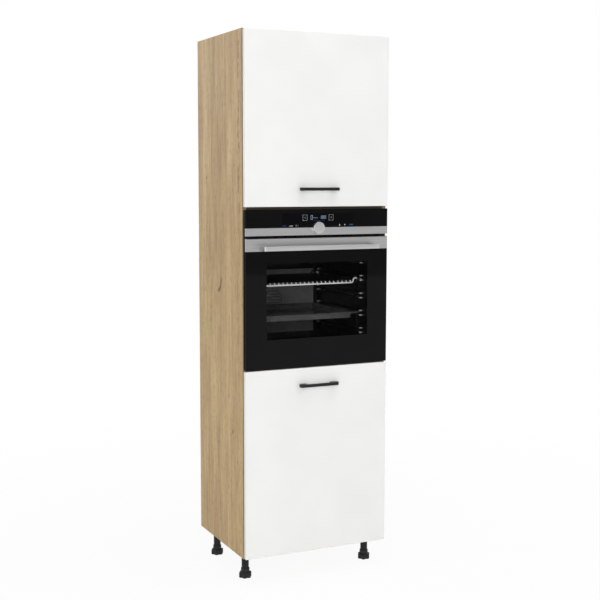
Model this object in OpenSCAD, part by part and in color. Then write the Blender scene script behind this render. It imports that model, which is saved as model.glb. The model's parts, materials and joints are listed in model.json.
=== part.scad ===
// Tall kitchen cabinet on legs with a built-in oven between two side-hinged doors.
// X runs across the width, Y into the depth with the doors facing -Y, and Z up from the floor.
// The pieces are drawn from the middle of the carcass's front edge at the height of its underside.

/* [Carcass] */
// Outer width of the carcass
unit_w = 600; // [580:1:660]
// Depth of the carcass without its doors
carcass_d = 460; // [440:1:500]
// Thickness of the oak boards
board_t = 16; // [15:0.5:19]
// Thickness of the hardboard back panels
back_t = 3; // [2.5:0.5:5]
// Distance from the rear edge to the back panels
back_inset = 19; // [15:1:40]
// Depth of the groove that holds the back panels
groove_deep = 6; // [4:0.5:8]
// Play behind and beside a back panel in its groove
groove_play = 0.1; // [0.05:0.05:0.3]

/* [Doors] */
// Thickness of a door
door_t = 18; // [16:1:22]
// Gap between a closed door and the carcass
door_gap = 2; // [1.8:0.1:3]
// Reveal around the doors at the carcass's outer edges
edge_reveal = 2; // [1:0.5:4]
// Height of the lower door
lower_door_h = 716; // [650:1:760]
// Height of the upper door
upper_door_h = 641; // [560:1:760]
// Distance of a hinge from the nearest door end
hinge_inset = 100; // [80:1:140]

/* [Oven front] */
// Gap between the lower door and the oven
oven_gap_low = 4.5; // [4:0.5:8]
// Gap between the oven and the upper door
oven_gap_top = 9.5; // [3:0.5:14]
// Height of the oven door
oven_door_h = 490; // [470:1:510]
// Height of the air slot over the oven door
air_slot_h = 8; // [5:0.5:12]
// Height of the control panel's glass
control_glass_h = 68.5; // [60:0.5:80]
// Height of the steel strip under the control glass
control_trim_h = 28.5; // [20:0.5:34]
// Height of the steel strip across the top of the oven door
door_trim_h = 49; // [45:0.5:60]
// Gap from the oven front to the carcass's outer side
oven_reveal = 2.5; // [2:0.5:5]
// Thickness of the front glass and of the steel strips
glass_t = 3.2; // [3:0.1:4]
// How far the oven front hangs below the shelf's top
shelf_cover = 5.5; // [3:0.5:8]
// How far the oven front stands above the niche
top_cover = 1.5; // [0.5:0.5:4]

/* [Oven body] */
// Gap on each side of the oven's casing in the niche
housing_side_gap = 10; // [8:0.5:14]
// Rear face of the casing, from the carcass's front edge
housing_d = 515; // [505:1:560]
// Gap over the casing in the niche
housing_top_gap = 6; // [4:1:12]
// Thickness of the casing's sheet
sheet_t = 1; // [0.8:0.1:1.5]
// Setback of the oven's front frame
frame_y = 12; // [11.5:0.5:16]
// Depth of the terminal box on the rear
terminal_d = 12; // [8:1:20]
// Space for insulation on each side of the cavity
cavity_side_gap = 34; // [30:1:40]
// Inner height of the cavity
cavity_h = 357; // [345:1:360]
// Height of the cavity's floor above the oven front's lower edge
cavity_lift = 65.5; // [62:0.5:70]
// Space behind the cavity for the fan's motor
cavity_rear_gap = 35; // [33:1:50]
// Thickness of the cavity's enamelled sheet
enamel_t = 1.2; // [1:0.1:1.5]

/* [Racks] */
// Number of rack levels
rack_levels = 5; // [3:1:5]
// Distance between rack levels
rack_pitch = 69; // [60:1:69]
// Height of the lowest rail above the cavity floor
rack_first = 39.5; // [30:0.5:42]
// Distance between the two wires of a level
wire_pair = 18; // [16:1:22]
// Radius of the rail wires
rail_r = 2.5; // [2:0.1:3]
// Distance of the rail wires from the cavity wall
rail_inset = 12.5; // [11:0.5:14]
// Radius of the wire rack's frame
rack_r = 3; // [2.5:0.1:3.5]
// Radius of the wire rack's thin rods
rod_r = 1.4; // [1:0.1:2]
// Distance between the wire rack's thin rods
rod_pitch = 18; // [15:0.5:25]
// Thickness of the baking tray's sheet
tray_t = 1.2; // [1:0.1:1.5]
// Depth of the baking tray
tray_deep = 26; // [20:1:30]

/* [Handles] */
// Length of a door handle
handle_len = 162; // [150:1:200]
// Distance between a door handle's screws
handle_holes = 128; // [118:1:160]
// Height of a door handle's bar
handle_h = 11.5; // [10:0.5:16]
// How far a door handle stands out
handle_out = 27; // [22:1:35]
// Thickness of a door handle's bar
handle_bar = 9; // [7:0.5:12]
// Distance of a door handle from the door's end
handle_inset = 65.5; // [50:0.5:90]
// Length of the oven's handle
oven_handle_w = 478; // [430:1:540]
// Height of the oven's handle
oven_handle_h = 17; // [12:0.5:22]
// How far the oven's handle stands out
oven_handle_out = 45; // [38:1:55]
// Thickness of the oven's handle bar
oven_handle_bar = 11; // [8:0.5:14]
// Diameter of the dial
dial_d = 45; // [38:1:50]
// Thickness of the dial
dial_t = 11; // [8:1:16]

/* [Legs] */
// Height of the legs
leg_h = 100; // [90:1:120]
// Distance of a leg's centre from the carcass's side
leg_side = 40; // [36:1:60]
// Distance of a leg's centre from the carcass's front and rear edges
leg_end = 80; // [50:1:110]
// Radius of the leg's tube
leg_r = 14; // [13:0.5:16]
// Radius of the leg's flange
leg_flange_r = 27; // [25:1:30]
// Thickness of the leg's flange
leg_flange_t = 4; // [3:0.5:6]
// Radius of the foot's stem and of the flange's spigot
stem_r = 10; // [8:0.5:11]
// Height of the foot's lobed rim
rim_h = 19.5; // [15:0.5:22]
// Radius of the foot's lobed rim
rim_r = 25; // [22:0.5:28]
// Number of lobes on the foot
foot_lobes = 6; // [5:1:8]

/* [Hidden] */
$fn = 64;

// How far a cut runs past a face and a joined piece runs into its neighbour; play of a pin in its hole
past = 1;
pin_play = 0.05;
// Play where one piece turns in another, and between pieces that move past each other
turn_play = 0.06;
move_gap = 0.3;

// The front, from the bottom up
lower_door_z = edge_reveal;
lower_door_top = lower_door_z + lower_door_h;
oven_z = lower_door_top + oven_gap_low;
oven_door_top = oven_z + oven_door_h;
control_z = oven_door_top + air_slot_h;
control_split = control_z + control_trim_h;
oven_top = control_split + control_glass_h;
upper_door_z = oven_top + oven_gap_top;
carcass_h = upper_door_z + upper_door_h + edge_reveal;

// The carcass
niche_w = unit_w - 2 * board_t;
groove_y = carcass_d - back_inset - back_t;
oven_shelf_top = oven_z + shelf_cover;
niche_top = oven_top - top_cover;
fixed_board_z = [0, oven_shelf_top - board_t, niche_top, carcass_h - board_t];
shelf_side_gap = 1;
shelf_front = 10;
shelf_rear_gap = 8;
upper_shelf_z = (niche_top + carcass_h - board_t) / 2;
lower_shelf_z = (oven_shelf_top - board_t) / 2;
pin_r = 2.5;
pin_in = 8;
pin_out = 9;
pin_end = 37;

// Cam fittings that join the fixed boards to the sides
cam_r = 7.5;
cam_deep = 12.5;
cam_reach = 34;
cam_bolt_r = 3;
cam_bolt_in = 11;
cam_front = 38;
cam_rear = 110;
cam_y = [cam_front, groove_y - cam_rear];

// Door planes and hinge heights
front_y = -door_gap - door_t;
door_w = unit_w - 2 * edge_reveal;
upper_hinge_z = [upper_door_z + hinge_inset, upper_door_z + upper_door_h - hinge_inset];
lower_hinge_z = [lower_door_z + hinge_inset, lower_door_top - hinge_inset];

// The doors' bar handles
upper_handle_z = upper_door_z + handle_inset;
lower_handle_z = lower_door_top - handle_inset;
handle_foot_w = 30;
handle_foot_slope = 4;
handle_bend = 5;
handle_end_cut = 8;
handle_tip_slope = 7;
handle_chamfer = 2;

// Concealed hinges: a cup in the door, an arm on a plate on the side panel
cup_r = 17.5;
cup_deep = 12;
cup_wall = 1;
cup_edge = 22.5;
cup_x = door_w / 2 - cup_edge;
wing_t = 0.9;
wing_h = 58;
wing_in = 15.5;
wing_out = 8.5;
dowel_r = 4;
dowel_in = 9.5;
dowel_z = 22.5;
dowel_deep = 9;
hinge_plate_t = 2;
hinge_plate_y = [26, 50];
hinge_plate_h = 46;
hinge_screw_y = 37;
hinge_screw_z = 16;
arm_w = 13;
arm_x = 14;
arm_end = 62;
arm_gap = 0.3;
lever_w = 10;

// Screws
screw_r = 1.75;
screw_len = 13;
screw_head_r = 3.4;
screw_head_t = 2;
handle_screw_r = 2;
handle_screw_head_r = 4;
handle_screw_head_t = 2.4;
handle_screw_in = 10;
oven_screw_r = 2;
oven_screw_len = 25;
oven_screw_head_r = 3.8;
oven_screw_head_t = 2.2;
oven_screw_low = 80;
oven_screw_high = 30;
oven_screw_z = [oven_z + oven_screw_low, oven_door_top - oven_screw_high];
oven_screw_x = unit_w / 2 - board_t / 2;

// Wall brackets under the top
bracket_side = 84;
bracket_x = niche_w / 2 - bracket_side;
bracket_w = 20;
bracket_leg = 40;
bracket_t = 2;
bracket_hole_r = 2.75;
bracket_hole_drop = 20;
bracket_screw_in = 28;
bracket_screw_y = groove_y - bracket_screw_in;

// The oven's casing and cavity, fitted into the niche from its sides and rear
housing_w = niche_w - 2 * housing_side_gap;
housing_top = niche_top - housing_top_gap;
cavity_w = housing_w - 2 * cavity_side_gap;
cavity_rear = housing_d - cavity_rear_gap;
cavity_z = oven_z + cavity_lift;
cavity_top = cavity_z + cavity_h;
seal_w = 5;
seal_edge = 1;

// The oven door, whose panes lap the cavity's opening
oven_w = unit_w - 2 * oven_reveal;
glass_back = front_y + glass_t;
trim_lip = 1.2;
door_frame_inset = 7.5;
door_frame_w = oven_w - 2 * door_frame_inset;
door_frame_y = -4;
door_frame_wall = 1.5;
door_frame_lift = 6.5;
door_frame_low = oven_z + door_frame_lift;
pane_lap = 12;
view_inset = 15;
view_w = cavity_w - 2 * view_inset;
view_z = [cavity_z + view_inset, cavity_top - view_inset];
step_w = cavity_w + 2 * pane_lap;
step_z = [cavity_z - pane_lap, cavity_top + pane_lap];
pane_gap = 2;
inner_glass_back = frame_y - pane_gap;
step_back = inner_glass_back - glass_t;
middle_glass_y = -9;
oven_handle_lift = 3;
oven_handle_foot = 14;
oven_handle_round = 3;

// The oven door's hinges: a tongue on the cassette, two cheeks and a pin on the door
oven_pivot_in = 7.5;
oven_pivot_up = 10.8;
oven_pivot_y = front_y + oven_pivot_in;
oven_pivot_z = oven_z + oven_pivot_up;
oven_pin_r = 2;
tongue_r = 3.9;
tongue_t = 4;
tongue_side = 22;
tongue_x = housing_w / 2 - tongue_side;
tongue_gap = 0.5;
hinge_side_t = 3.5;
hinge_side_h = 40;
cassette_d = 76;
cassette_h = 31;
cassette_w = 12;

// Vents in the casing, and the front frame with its outlets
vent_count = 6;
vent_side = 74;
vent_w = 160;
vent_lift = 440;
vent_h = 8;
vent_pitch = 20;
flange_t = 1;
flange_inset = 1.5;
flange_x = oven_w / 2 - flange_inset;
outlets = 12;
outlet_pitch = cavity_w / outlets;
outlet_web = 8;
outlet_edge = 1.5;

// The controls
carrier_t = 2.8;
carrier_edge = 1.5;
carrier_wall = 1.5;
carrier_play = 0.1;
carrier_body_d = 60;
display_w = 300;
display_lift = 10;
display_h = 42;
display_z = [control_split + display_lift, control_split + display_lift + display_h];
display_d = 11;
dial_drop = 1.7;
dial_z = control_split - dial_drop;
dial_gap = 0.4;
dial_shaft_r = 3;
dial_shaft_end = 0;
dial_boss_r = 8;
dial_boss_end = 2;

// The fan with its motor, baffle and ring heater
fan_lift = 134;
fan_z = cavity_z + fan_lift;
fan_r = 70;
fan_rear_gap = 5;
fan_depth = 15;
fan_back = cavity_rear - fan_rear_gap;
fan_front = fan_back - fan_depth;
fan_sheet = 1.2;
fan_shaft_r = 4;
fan_shaft_clear = 1;
fan_hub_r = 12;
fan_blade_r = 68;
fan_blades = 12;
motor_r = 32;
motor_end_gap = 5;
motor_d = cavity_rear_gap - motor_end_gap;
motor_plate_w = 90;
motor_plate_t = 1.5;
motor_cap = 4;
motor_shaft_gap = 2;
baffle_d = 28;
baffle_side = 30;
baffle_y = cavity_rear - baffle_d;
baffle_w = cavity_w - 2 * baffle_side;
baffle_h = 265;
baffle_lift = 2;
baffle_slots = 9;
slot_pitch = 12;
slot_h = 5;
slot_inset = 6;
heater_r = 3.2;
heater_gap = 13;
heater_lead_angle = 8;
ring_r = 88;

// The grill element and the lamp
grill_rods = 6;
grill_side = 65;
grill_pitch = (cavity_w - 2 * grill_side) / (grill_rods - 1);
grill_drop = 17;
grill_front_gap = 8;
grill_rear_gap = 60;
lamp_r = 18;
lamp_side = 90;
lamp_x = lamp_side - cavity_w / 2;
lamp_drop = 45;
lamp_t = 9;
lamp_rim_t = 4;
lamp_rim_w = 3;

// The terminal box on the casing's rear, with its cable gland
terminal_side = 74;
terminal_x = terminal_side - housing_w / 2;
terminal_w = 90;
terminal_h = 90;
terminal_lift = 460;
gland_h = 8;
gland_inset = 1;

// The racks
rail_setback = 50;
rail_front = frame_y + rail_setback;
rail_rear_gap = 2;
rail_rear = baffle_y - rail_rear_gap;
rail_x = cavity_w / 2 - rail_inset;
post_bite = 0.2;
post_x = rail_x + 2 * rail_r - post_bite;
post_front = 40;
post_rear = 25;
post_over = 12;
rack_level = 3;
tray_level = 1;
rack_side = 2;
rack_side_x = rail_x - rack_side;
rack_front_lead = 2;
rack_front = rail_front - rack_front_lead;
rack_rear_gap = 16;
rack_rear = baffle_y - rack_rear_gap;
rack_drop = 16;
rack_wire_z = level_z(rack_level) + rail_r + rack_r + pin_play;
rack_grid_z = rack_wire_z - rack_drop;
rack_shoulder = 31;
rack_grid_w = 2 * (rack_side_x - rack_shoulder);
rack_hook_in = 14;
rack_hook_up = 4;
rack_foot_out = 4;
hook_taper = 0.1;
crossbar_r = 1.7;
crossbar_over = 2;
tray_lap = 1;
tray_w = 2 * (rail_x + tray_lap);
tray_rim = 16;
tray_rim_h = 12;
tray_slope = 25;
tray_front_gap = 4;
tray_front = rail_front + tray_front_gap;
tray_rear_gap = 12;
tray_rear = baffle_y - tray_rear_gap;
tray_z = level_z(tray_level) + rail_r + pin_play;

// The legs
leg_x = unit_w / 2 - leg_side;
leg_y = [leg_end, carcass_d - leg_end];
leg_screw_ring = 19;
spigot_h = 18;
stem_play = 0.1;
collar_lip = 2.6;
collar_r = leg_r + collar_lip;
collar_h = 12;
cone_h = 5;
tube_low = -leg_h + rim_h + cone_h + collar_h + move_gap;
stem_top = -30;
lobe_r = 8;

// The object's box is centred on the origin in X and Y
front_reach = oven_handle_out - front_y;
rear_reach = housing_d + terminal_d;
centre_y = (front_reach - rear_reach) / 2;

oak = "burlywood";
gloss_white = "whitesmoke";
black = "#1e1e1e";
steel = "silver";
zinc = "gainsboro";
enamel = "#2c2c2e";

// Height of a rack level's lower wire
function level_z(i) = cavity_z + rack_first + i * rack_pitch;

module unit() {
    translate([0, centre_y, leg_h]) children();
}

module block(from, to) {
    translate(from) cube(to - from);
}

module mirrored() {
    children();
    mirror([1, 0, 0]) children();
}

module rod_x(from, length, r) {
    translate(from) rotate([0, 90, 0]) cylinder(h = length, r = r);
}

module rod_y(from, length, r) {
    translate(from) rotate([-90, 0, 0]) cylinder(h = length, r = r);
}

module rod_z(from, length, r) {
    translate(from) cylinder(h = length, r = r);
}

// A straight wire between two points, run on a little past both
module wire(from, to, r, run_on) {
    v = to - from;
    length = norm(v);
    translate(from)
        rotate([0, acos(v.z / length), atan2(v.y, v.x)])
            translate([0, 0, -run_on / 2]) cylinder(h = length + run_on, r = r);
}

// A rectangular ring with its opening along Y
module ring(y0, y1, half_w, z, open_half_w, open_z) {
    difference() {
        block([-half_w, y0, z[0]], [half_w, y1, z[1]]);
        block([-open_half_w, y0 - past, open_z[0]], [open_half_w, y1 + past, open_z[1]]);
    }
}

// Carcass

module side_panel(hinged) {
    difference() {
        block([niche_w / 2, 0, 0], [unit_w / 2, carcass_d, carcass_h]);
        block(
            [niche_w / 2 - past, groove_y, -past],
            [niche_w / 2 + groove_deep + groove_play, groove_y + back_t + groove_play, carcass_h + past]
        );
        for (z = fixed_board_z, y = cam_y)
            rod_x([niche_w / 2 - past, y, z + board_t / 2], cam_bolt_in + past, cam_bolt_r + pin_play);
        for (z = [upper_shelf_z, lower_shelf_z], y = [pin_end, groove_y - pin_end])
            rod_x([niche_w / 2 - past, y, z - pin_r - pin_play], pin_in + past, pin_r + pin_play);
        for (z = oven_screw_z)
            rod_y([oven_screw_x, -past, z], oven_screw_len + past, oven_screw_r + pin_play);
        if (hinged)
            for (z = concat(upper_hinge_z, lower_hinge_z), dz = [-hinge_screw_z, hinge_screw_z])
                rod_x([niche_w / 2 - past, hinge_screw_y, z + dz], screw_len + past, screw_r + pin_play);
    }
}

module side_panel_left() {
    color(oak) unit() mirror([1, 0, 0]) side_panel(false);
}

module side_panel_right() {
    color(oak) unit() side_panel(true);
}

// A board between the sides, with its cam locks let in from below
module fixed_board(z) {
    difference() {
        block([-niche_w / 2, 0, z], [niche_w / 2, groove_y, z + board_t]);
        for (y = cam_y)
            mirrored() {
                rod_x(
                    [niche_w / 2 - cam_reach, y, z + board_t / 2],
                    cam_reach + past, cam_bolt_r + pin_play
                );
                rod_z([niche_w / 2 - cam_reach, y, z - past], cam_deep + past, cam_r + pin_play);
            }
    }
}

module bottom_panel() {
    color(oak) unit() difference() {
        fixed_board(fixed_board_z[0]);
        at_leg_screws() rod_z([0, 0, -past], screw_len - leg_flange_t + past, screw_r + pin_play);
    }
}

module oven_shelf() {
    color(oak) unit() fixed_board(fixed_board_z[1]);
}

module niche_top_shelf() {
    color(oak) unit() fixed_board(fixed_board_z[2]);
}

module top_panel() {
    color(oak) unit() difference() {
        fixed_board(fixed_board_z[3]);
        for (x = [-bracket_x, bracket_x])
            rod_z(
                [x, bracket_screw_y, carcass_h - board_t - past],
                screw_len - bracket_t + past, screw_r + pin_play
            );
    }
}

module back_panel(z0, z1) {
    half_w = niche_w / 2 + groove_deep;
    block([-half_w, groove_y, z0], [half_w, groove_y + back_t, z1]);
}

module back_panel_upper() {
    color(oak) unit() difference() {
        back_panel(niche_top, carcass_h);
        at_bracket_holes() rod_y([0, groove_y - past, 0], back_t + 2 * past, bracket_hole_r);
    }
}

module back_panel_lower() {
    color(oak) unit() back_panel(0, oven_shelf_top);
}

module loose_shelf(z) {
    half_w = niche_w / 2 - shelf_side_gap;
    block([-half_w, shelf_front, z], [half_w, groove_y - shelf_rear_gap, z + board_t]);
}

module upper_shelf() {
    color(oak) unit() loose_shelf(upper_shelf_z);
}

module lower_shelf() {
    color(oak) unit() loose_shelf(lower_shelf_z);
}

module shelf_pins() {
    color(zinc) unit() mirrored()
        for (z = [upper_shelf_z, lower_shelf_z], y = [pin_end, groove_y - pin_end])
            rod_x([niche_w / 2 - pin_out, y, z - pin_r - pin_play], pin_out + pin_in, pin_r);
}

module cam_locks() {
    color(zinc) unit() mirrored()
        for (z = fixed_board_z, y = cam_y)
            rod_z([niche_w / 2 - cam_reach, y, z], cam_deep, cam_r);
}

module cam_bolts() {
    bolt_len = cam_reach - cam_r - pin_play + cam_bolt_in;
    color(zinc) unit() mirrored()
        for (z = fixed_board_z, y = cam_y)
            rod_x([niche_w / 2 + cam_bolt_in - bolt_len, y, z + board_t / 2], bolt_len, cam_bolt_r);
}

// A round screw head with its shank, drawn along +Z from the head's top
module screw() {
    cylinder(h = screw_head_t, r = screw_head_r);
    cylinder(h = screw_head_t + screw_len, r = screw_r);
}

module at_leg_screws() {
    for (x = [-leg_x, leg_x], y = leg_y, a = [45 : 90 : 315])
        translate([x + leg_screw_ring * cos(a), y + leg_screw_ring * sin(a), 0]) children();
}

module chipboard_screws() {
    color(zinc) unit() {
        at_leg_screws() translate([0, 0, -leg_flange_t - screw_head_t]) screw();
        for (z = concat(upper_hinge_z, lower_hinge_z), dz = [-hinge_screw_z, hinge_screw_z])
            translate([niche_w / 2 - hinge_plate_t - screw_head_t, hinge_screw_y, z + dz])
                rotate([0, 90, 0]) screw();
        for (x = [-bracket_x, bracket_x])
            translate([x, bracket_screw_y, carcass_h - board_t - bracket_t - screw_head_t]) screw();
    }
}

module at_bracket_holes() {
    for (x = [-bracket_x, bracket_x])
        translate([x, 0, carcass_h - board_t - bracket_hole_drop]) children();
}

module wall_brackets() {
    top = carcass_h - board_t;
    cut = bracket_t + 2 * past;
    color(zinc) unit() difference() {
        for (x = [-bracket_x, bracket_x]) {
            left = x - bracket_w / 2;
            block([left, groove_y - bracket_leg, top - bracket_t], [left + bracket_w, groove_y, top]);
            block([left, groove_y - bracket_t, top - bracket_leg], [left + bracket_w, groove_y, top]);
        }
        at_bracket_holes() rod_y([0, groove_y - bracket_t - past, 0], cut, bracket_hole_r);
        for (x = [-bracket_x, bracket_x])
            rod_z([x, bracket_screw_y, top - bracket_t - past], cut, screw_r + pin_play);
    }
}

// Doors

// The static half of a concealed hinge: its plate on the side panel and the arm on the plate
module hinge_mount(z) {
    difference() {
        union() {
            block(
                [niche_w / 2 - hinge_plate_t, hinge_plate_y[0], z - hinge_plate_h / 2],
                [niche_w / 2, hinge_plate_y[1], z + hinge_plate_h / 2]
            );
            block(
                [niche_w / 2 - hinge_plate_t - arm_x, -door_gap + wing_t + arm_gap, z - arm_w / 2],
                [niche_w / 2 - hinge_plate_t, arm_end, z + arm_w / 2]
            );
        }
        for (dz = [-hinge_screw_z, hinge_screw_z])
            rod_x(
                [niche_w / 2 - hinge_plate_t - past, hinge_screw_y, z + dz],
                hinge_plate_t + 2 * past, screw_r + pin_play
            );
    }
}

module upper_hinge_mounts() {
    color(zinc) unit() for (z = upper_hinge_z) hinge_mount(z);
}

module lower_hinge_mounts() {
    color(zinc) unit() for (z = lower_hinge_z) hinge_mount(z);
}

// The moving half of a concealed hinge: the cup, its wings and two press-in dowels
module hinge_cup(z) {
    difference() {
        union() {
            rod_y([cup_x, -door_gap - cup_deep, z], cup_deep + wing_t, cup_r);
            block(
                [cup_x - wing_in, -door_gap, z - wing_h / 2],
                [cup_x + wing_out, -door_gap + wing_t, z + wing_h / 2]
            );
            for (dz = [-dowel_z, dowel_z])
                rod_y([cup_x - dowel_in, -door_gap - dowel_deep, z + dz], dowel_deep + wing_t, dowel_r);
        }
        rod_y([cup_x, -door_gap - cup_deep + cup_wall, z], cup_deep + wing_t, cup_r - cup_wall);
    }
    // The lever that rises from the cup's floor to meet the arm
    block(
        [cup_x - lever_w / 2, -door_gap - cup_deep + cup_wall / 2, z - lever_w / 2],
        [cup_x + lever_w / 2, -door_gap + wing_t, z + lever_w / 2]
    );
}

module upper_hinge_cups() {
    color(zinc) unit() for (z = upper_hinge_z) hinge_cup(z);
}

module lower_hinge_cups() {
    color(zinc) unit() for (z = lower_hinge_z) hinge_cup(z);
}

module door_panel(z0, z1, hinge_z, handle_z) {
    difference() {
        block([-door_w / 2, front_y, z0], [door_w / 2, -door_gap, z1]);
        for (z = hinge_z) {
            rod_y([cup_x, -door_gap - cup_deep, z], cup_deep + past, cup_r + pin_play);
            for (dz = [-dowel_z, dowel_z])
                rod_y(
                    [cup_x - dowel_in, -door_gap - dowel_deep, z + dz],
                    dowel_deep + past, dowel_r + pin_play
                );
        }
        for (x = [-handle_holes / 2, handle_holes / 2])
            rod_y([x, front_y - past, handle_z], door_t + 2 * past, handle_screw_r + pin_play);
    }
}

// A bar handle, as wide feet that slope into the bar, with chamfered edges
module door_handle(z) {
    tip = handle_len / 2;
    foot_in = tip - handle_foot_w;
    back = handle_out - handle_bar;
    side = handle_h / 2;
    edge = handle_out - handle_chamfer;
    outer = [
        [tip - handle_end_cut, 0], [tip, handle_end_cut],
        [tip, handle_out - handle_end_cut], [tip - handle_tip_slope, handle_out],
    ];
    inner = [[foot_in - handle_foot_slope, back], [foot_in, back - handle_bend], [foot_in, 0]];
    left_outer = [for (i = [3 : -1 : 0]) [-outer[i].x, outer[i].y]];
    left_inner = [for (i = [2 : -1 : 0]) [-inner[i].x, inner[i].y]];
    difference() {
        translate([0, front_y, z]) mirror([0, 1, 0])
            intersection() {
                translate([0, 0, -side]) linear_extrude(handle_h)
                    polygon(concat(outer, left_outer, left_inner, inner));
                rotate([90, 0, 90]) translate([0, 0, -tip]) linear_extrude(handle_len)
                    polygon([
                        [0, -side], [edge, -side], [handle_out, handle_chamfer - side],
                        [handle_out, side - handle_chamfer], [edge, side], [0, side],
                    ]);
            }
        for (x = [-handle_holes / 2, handle_holes / 2])
            rod_y([x, front_y - handle_screw_in, z], handle_screw_in + past, handle_screw_r + pin_play);
    }
}

module handle_screws(z) {
    for (x = [-handle_holes / 2, handle_holes / 2]) {
        rod_y([x, front_y - handle_screw_in, z], handle_screw_in + door_t, handle_screw_r);
        rod_y([x, -door_gap, z], handle_screw_head_t, handle_screw_head_r);
    }
}

module upper_door_panel() {
    color(gloss_white) unit()
        door_panel(upper_door_z, upper_door_z + upper_door_h, upper_hinge_z, upper_handle_z);
}

module upper_door_handle() {
    color(black) unit() door_handle(upper_handle_z);
}

module upper_handle_screws() {
    color(zinc) unit() handle_screws(upper_handle_z);
}

module lower_door_panel() {
    color(gloss_white) unit() door_panel(lower_door_z, lower_door_top, lower_hinge_z, lower_handle_z);
}

module lower_door_handle() {
    color(black) unit() door_handle(lower_handle_z);
}

module lower_handle_screws() {
    color(zinc) unit() handle_screws(lower_handle_z);
}

// Legs

module at_legs() {
    for (x = [-leg_x, leg_x], y = leg_y) translate([x, y, 0]) children();
}

module leg_sockets() {
    color(black) unit() difference() {
        at_legs() {
            rod_z([0, 0, -leg_flange_t], leg_flange_t, leg_flange_r);
            rod_z([0, 0, -leg_flange_t - spigot_h], leg_flange_t + spigot_h, stem_r);
        }
        at_leg_screws() rod_z([0, 0, -leg_flange_t - past], leg_flange_t + 2 * past, screw_r + pin_play);
    }
}

module leg_tubes() {
    color(black) unit() at_legs() difference() {
        rod_z([0, 0, tube_low], -leg_flange_t - tube_low, leg_r);
        rod_z([0, 0, tube_low - past], leg_h, stem_r + stem_play);
    }
}

// A screw foot: a lobed rim, a cone up to a round collar, and the stem inside the tube
module foot(x, y) {
    collar_z = rim_h + cone_h;
    color(black) unit() translate([x, y, -leg_h]) {
        cylinder(h = rim_h, r = rim_r - lobe_r / 2);
        for (i = [0 : foot_lobes - 1])
            rotate(i * 360 / foot_lobes)
                translate([rim_r - lobe_r, 0, 0]) cylinder(h = rim_h, r = lobe_r);
        translate([0, 0, rim_h]) cylinder(h = cone_h, r1 = rim_r - lobe_r / 2, r2 = collar_r);
        translate([0, 0, collar_z]) cylinder(h = collar_h, r = collar_r);
        translate([0, 0, collar_z]) cylinder(h = leg_h + stem_top - collar_z, r = stem_r);
    }
}

module foot_front_left() {
    foot(-leg_x, leg_y[0]);
}

module foot_front_right() {
    foot(leg_x, leg_y[0]);
}

module foot_rear_left() {
    foot(-leg_x, leg_y[1]);
}

module foot_rear_right() {
    foot(leg_x, leg_y[1]);
}

// Oven body

module oven_housing() {
    half_w = housing_w / 2;
    front = frame_y + flange_t;
    color(zinc) unit() difference() {
        block([-half_w, front, oven_shelf_top], [half_w, housing_d, housing_top]);
        block(
            [-half_w + sheet_t, front - past, oven_shelf_top + sheet_t],
            [half_w - sheet_t, housing_d - sheet_t, housing_top - sheet_t]
        );
        for (i = [0 : vent_count - 1]) {
            right = half_w - vent_side;
            z = oven_shelf_top + vent_lift + i * vent_pitch;
            block([right - vent_w, housing_d - sheet_t - past, z], [right, housing_d + past, z + vent_h]);
        }
    }
}

module oven_front_frame() {
    half_w = housing_w / 2;
    slot_half = tongue_t / 2 + move_gap;
    color(enamel) unit() difference() {
        union() {
            ring(
                frame_y, frame_y + flange_t, half_w, [oven_shelf_top, control_z + move_gap],
                cavity_w / 2, [cavity_z, cavity_top]
            );
            mirrored() {
                block(
                    [half_w - flange_t, -flange_t, oven_shelf_top],
                    [half_w, frame_y + flange_t, housing_top]
                );
                block(
                    [half_w - flange_t, -flange_t, oven_z + move_gap],
                    [flange_x, 0, oven_top - carrier_edge]
                );
            }
        }
        mirrored() {
            // Slots for the hinge tongues and holes for the fixing screws
            block(
                [tongue_x - slot_half, frame_y - past, oven_shelf_top + flange_t],
                [tongue_x + slot_half, frame_y + flange_t + past, oven_pivot_z + tongue_r + move_gap]
            );
            for (z = oven_screw_z)
                rod_y([oven_screw_x, -flange_t - past, z], flange_t + 2 * past, oven_screw_r + pin_play);
        }
        // Outlets for the cooling air over the door
        for (i = [0 : outlets - 1]) {
            left = (i - outlets / 2) * outlet_pitch + outlet_web / 2;
            right = left + outlet_pitch - outlet_web;
            block(
                [left, frame_y - past, oven_door_top + outlet_edge],
                [right, frame_y + flange_t + past, control_z - outlet_edge]
            );
        }
    }
}

module oven_cavity() {
    half_w = cavity_w / 2;
    front = frame_y + flange_t;
    color(enamel) unit() difference() {
        block(
            [-half_w - enamel_t, front, cavity_z - enamel_t],
            [half_w + enamel_t, cavity_rear + enamel_t, cavity_top + enamel_t]
        );
        block([-half_w, front - past, cavity_z], [half_w, cavity_rear, cavity_top]);
        rod_y([0, cavity_rear - past, fan_z], enamel_t + 2 * past, fan_shaft_r + fan_shaft_clear);
    }
}

module cavity_seal() {
    inner = cavity_w / 2 + seal_edge;
    low = cavity_z - seal_edge;
    high = cavity_top + seal_edge;
    color(black) unit()
        ring(
            inner_glass_back + move_gap, frame_y, inner + seal_w, [low - seal_w, high + seal_w],
            inner, [low, high]
        );
}

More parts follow.
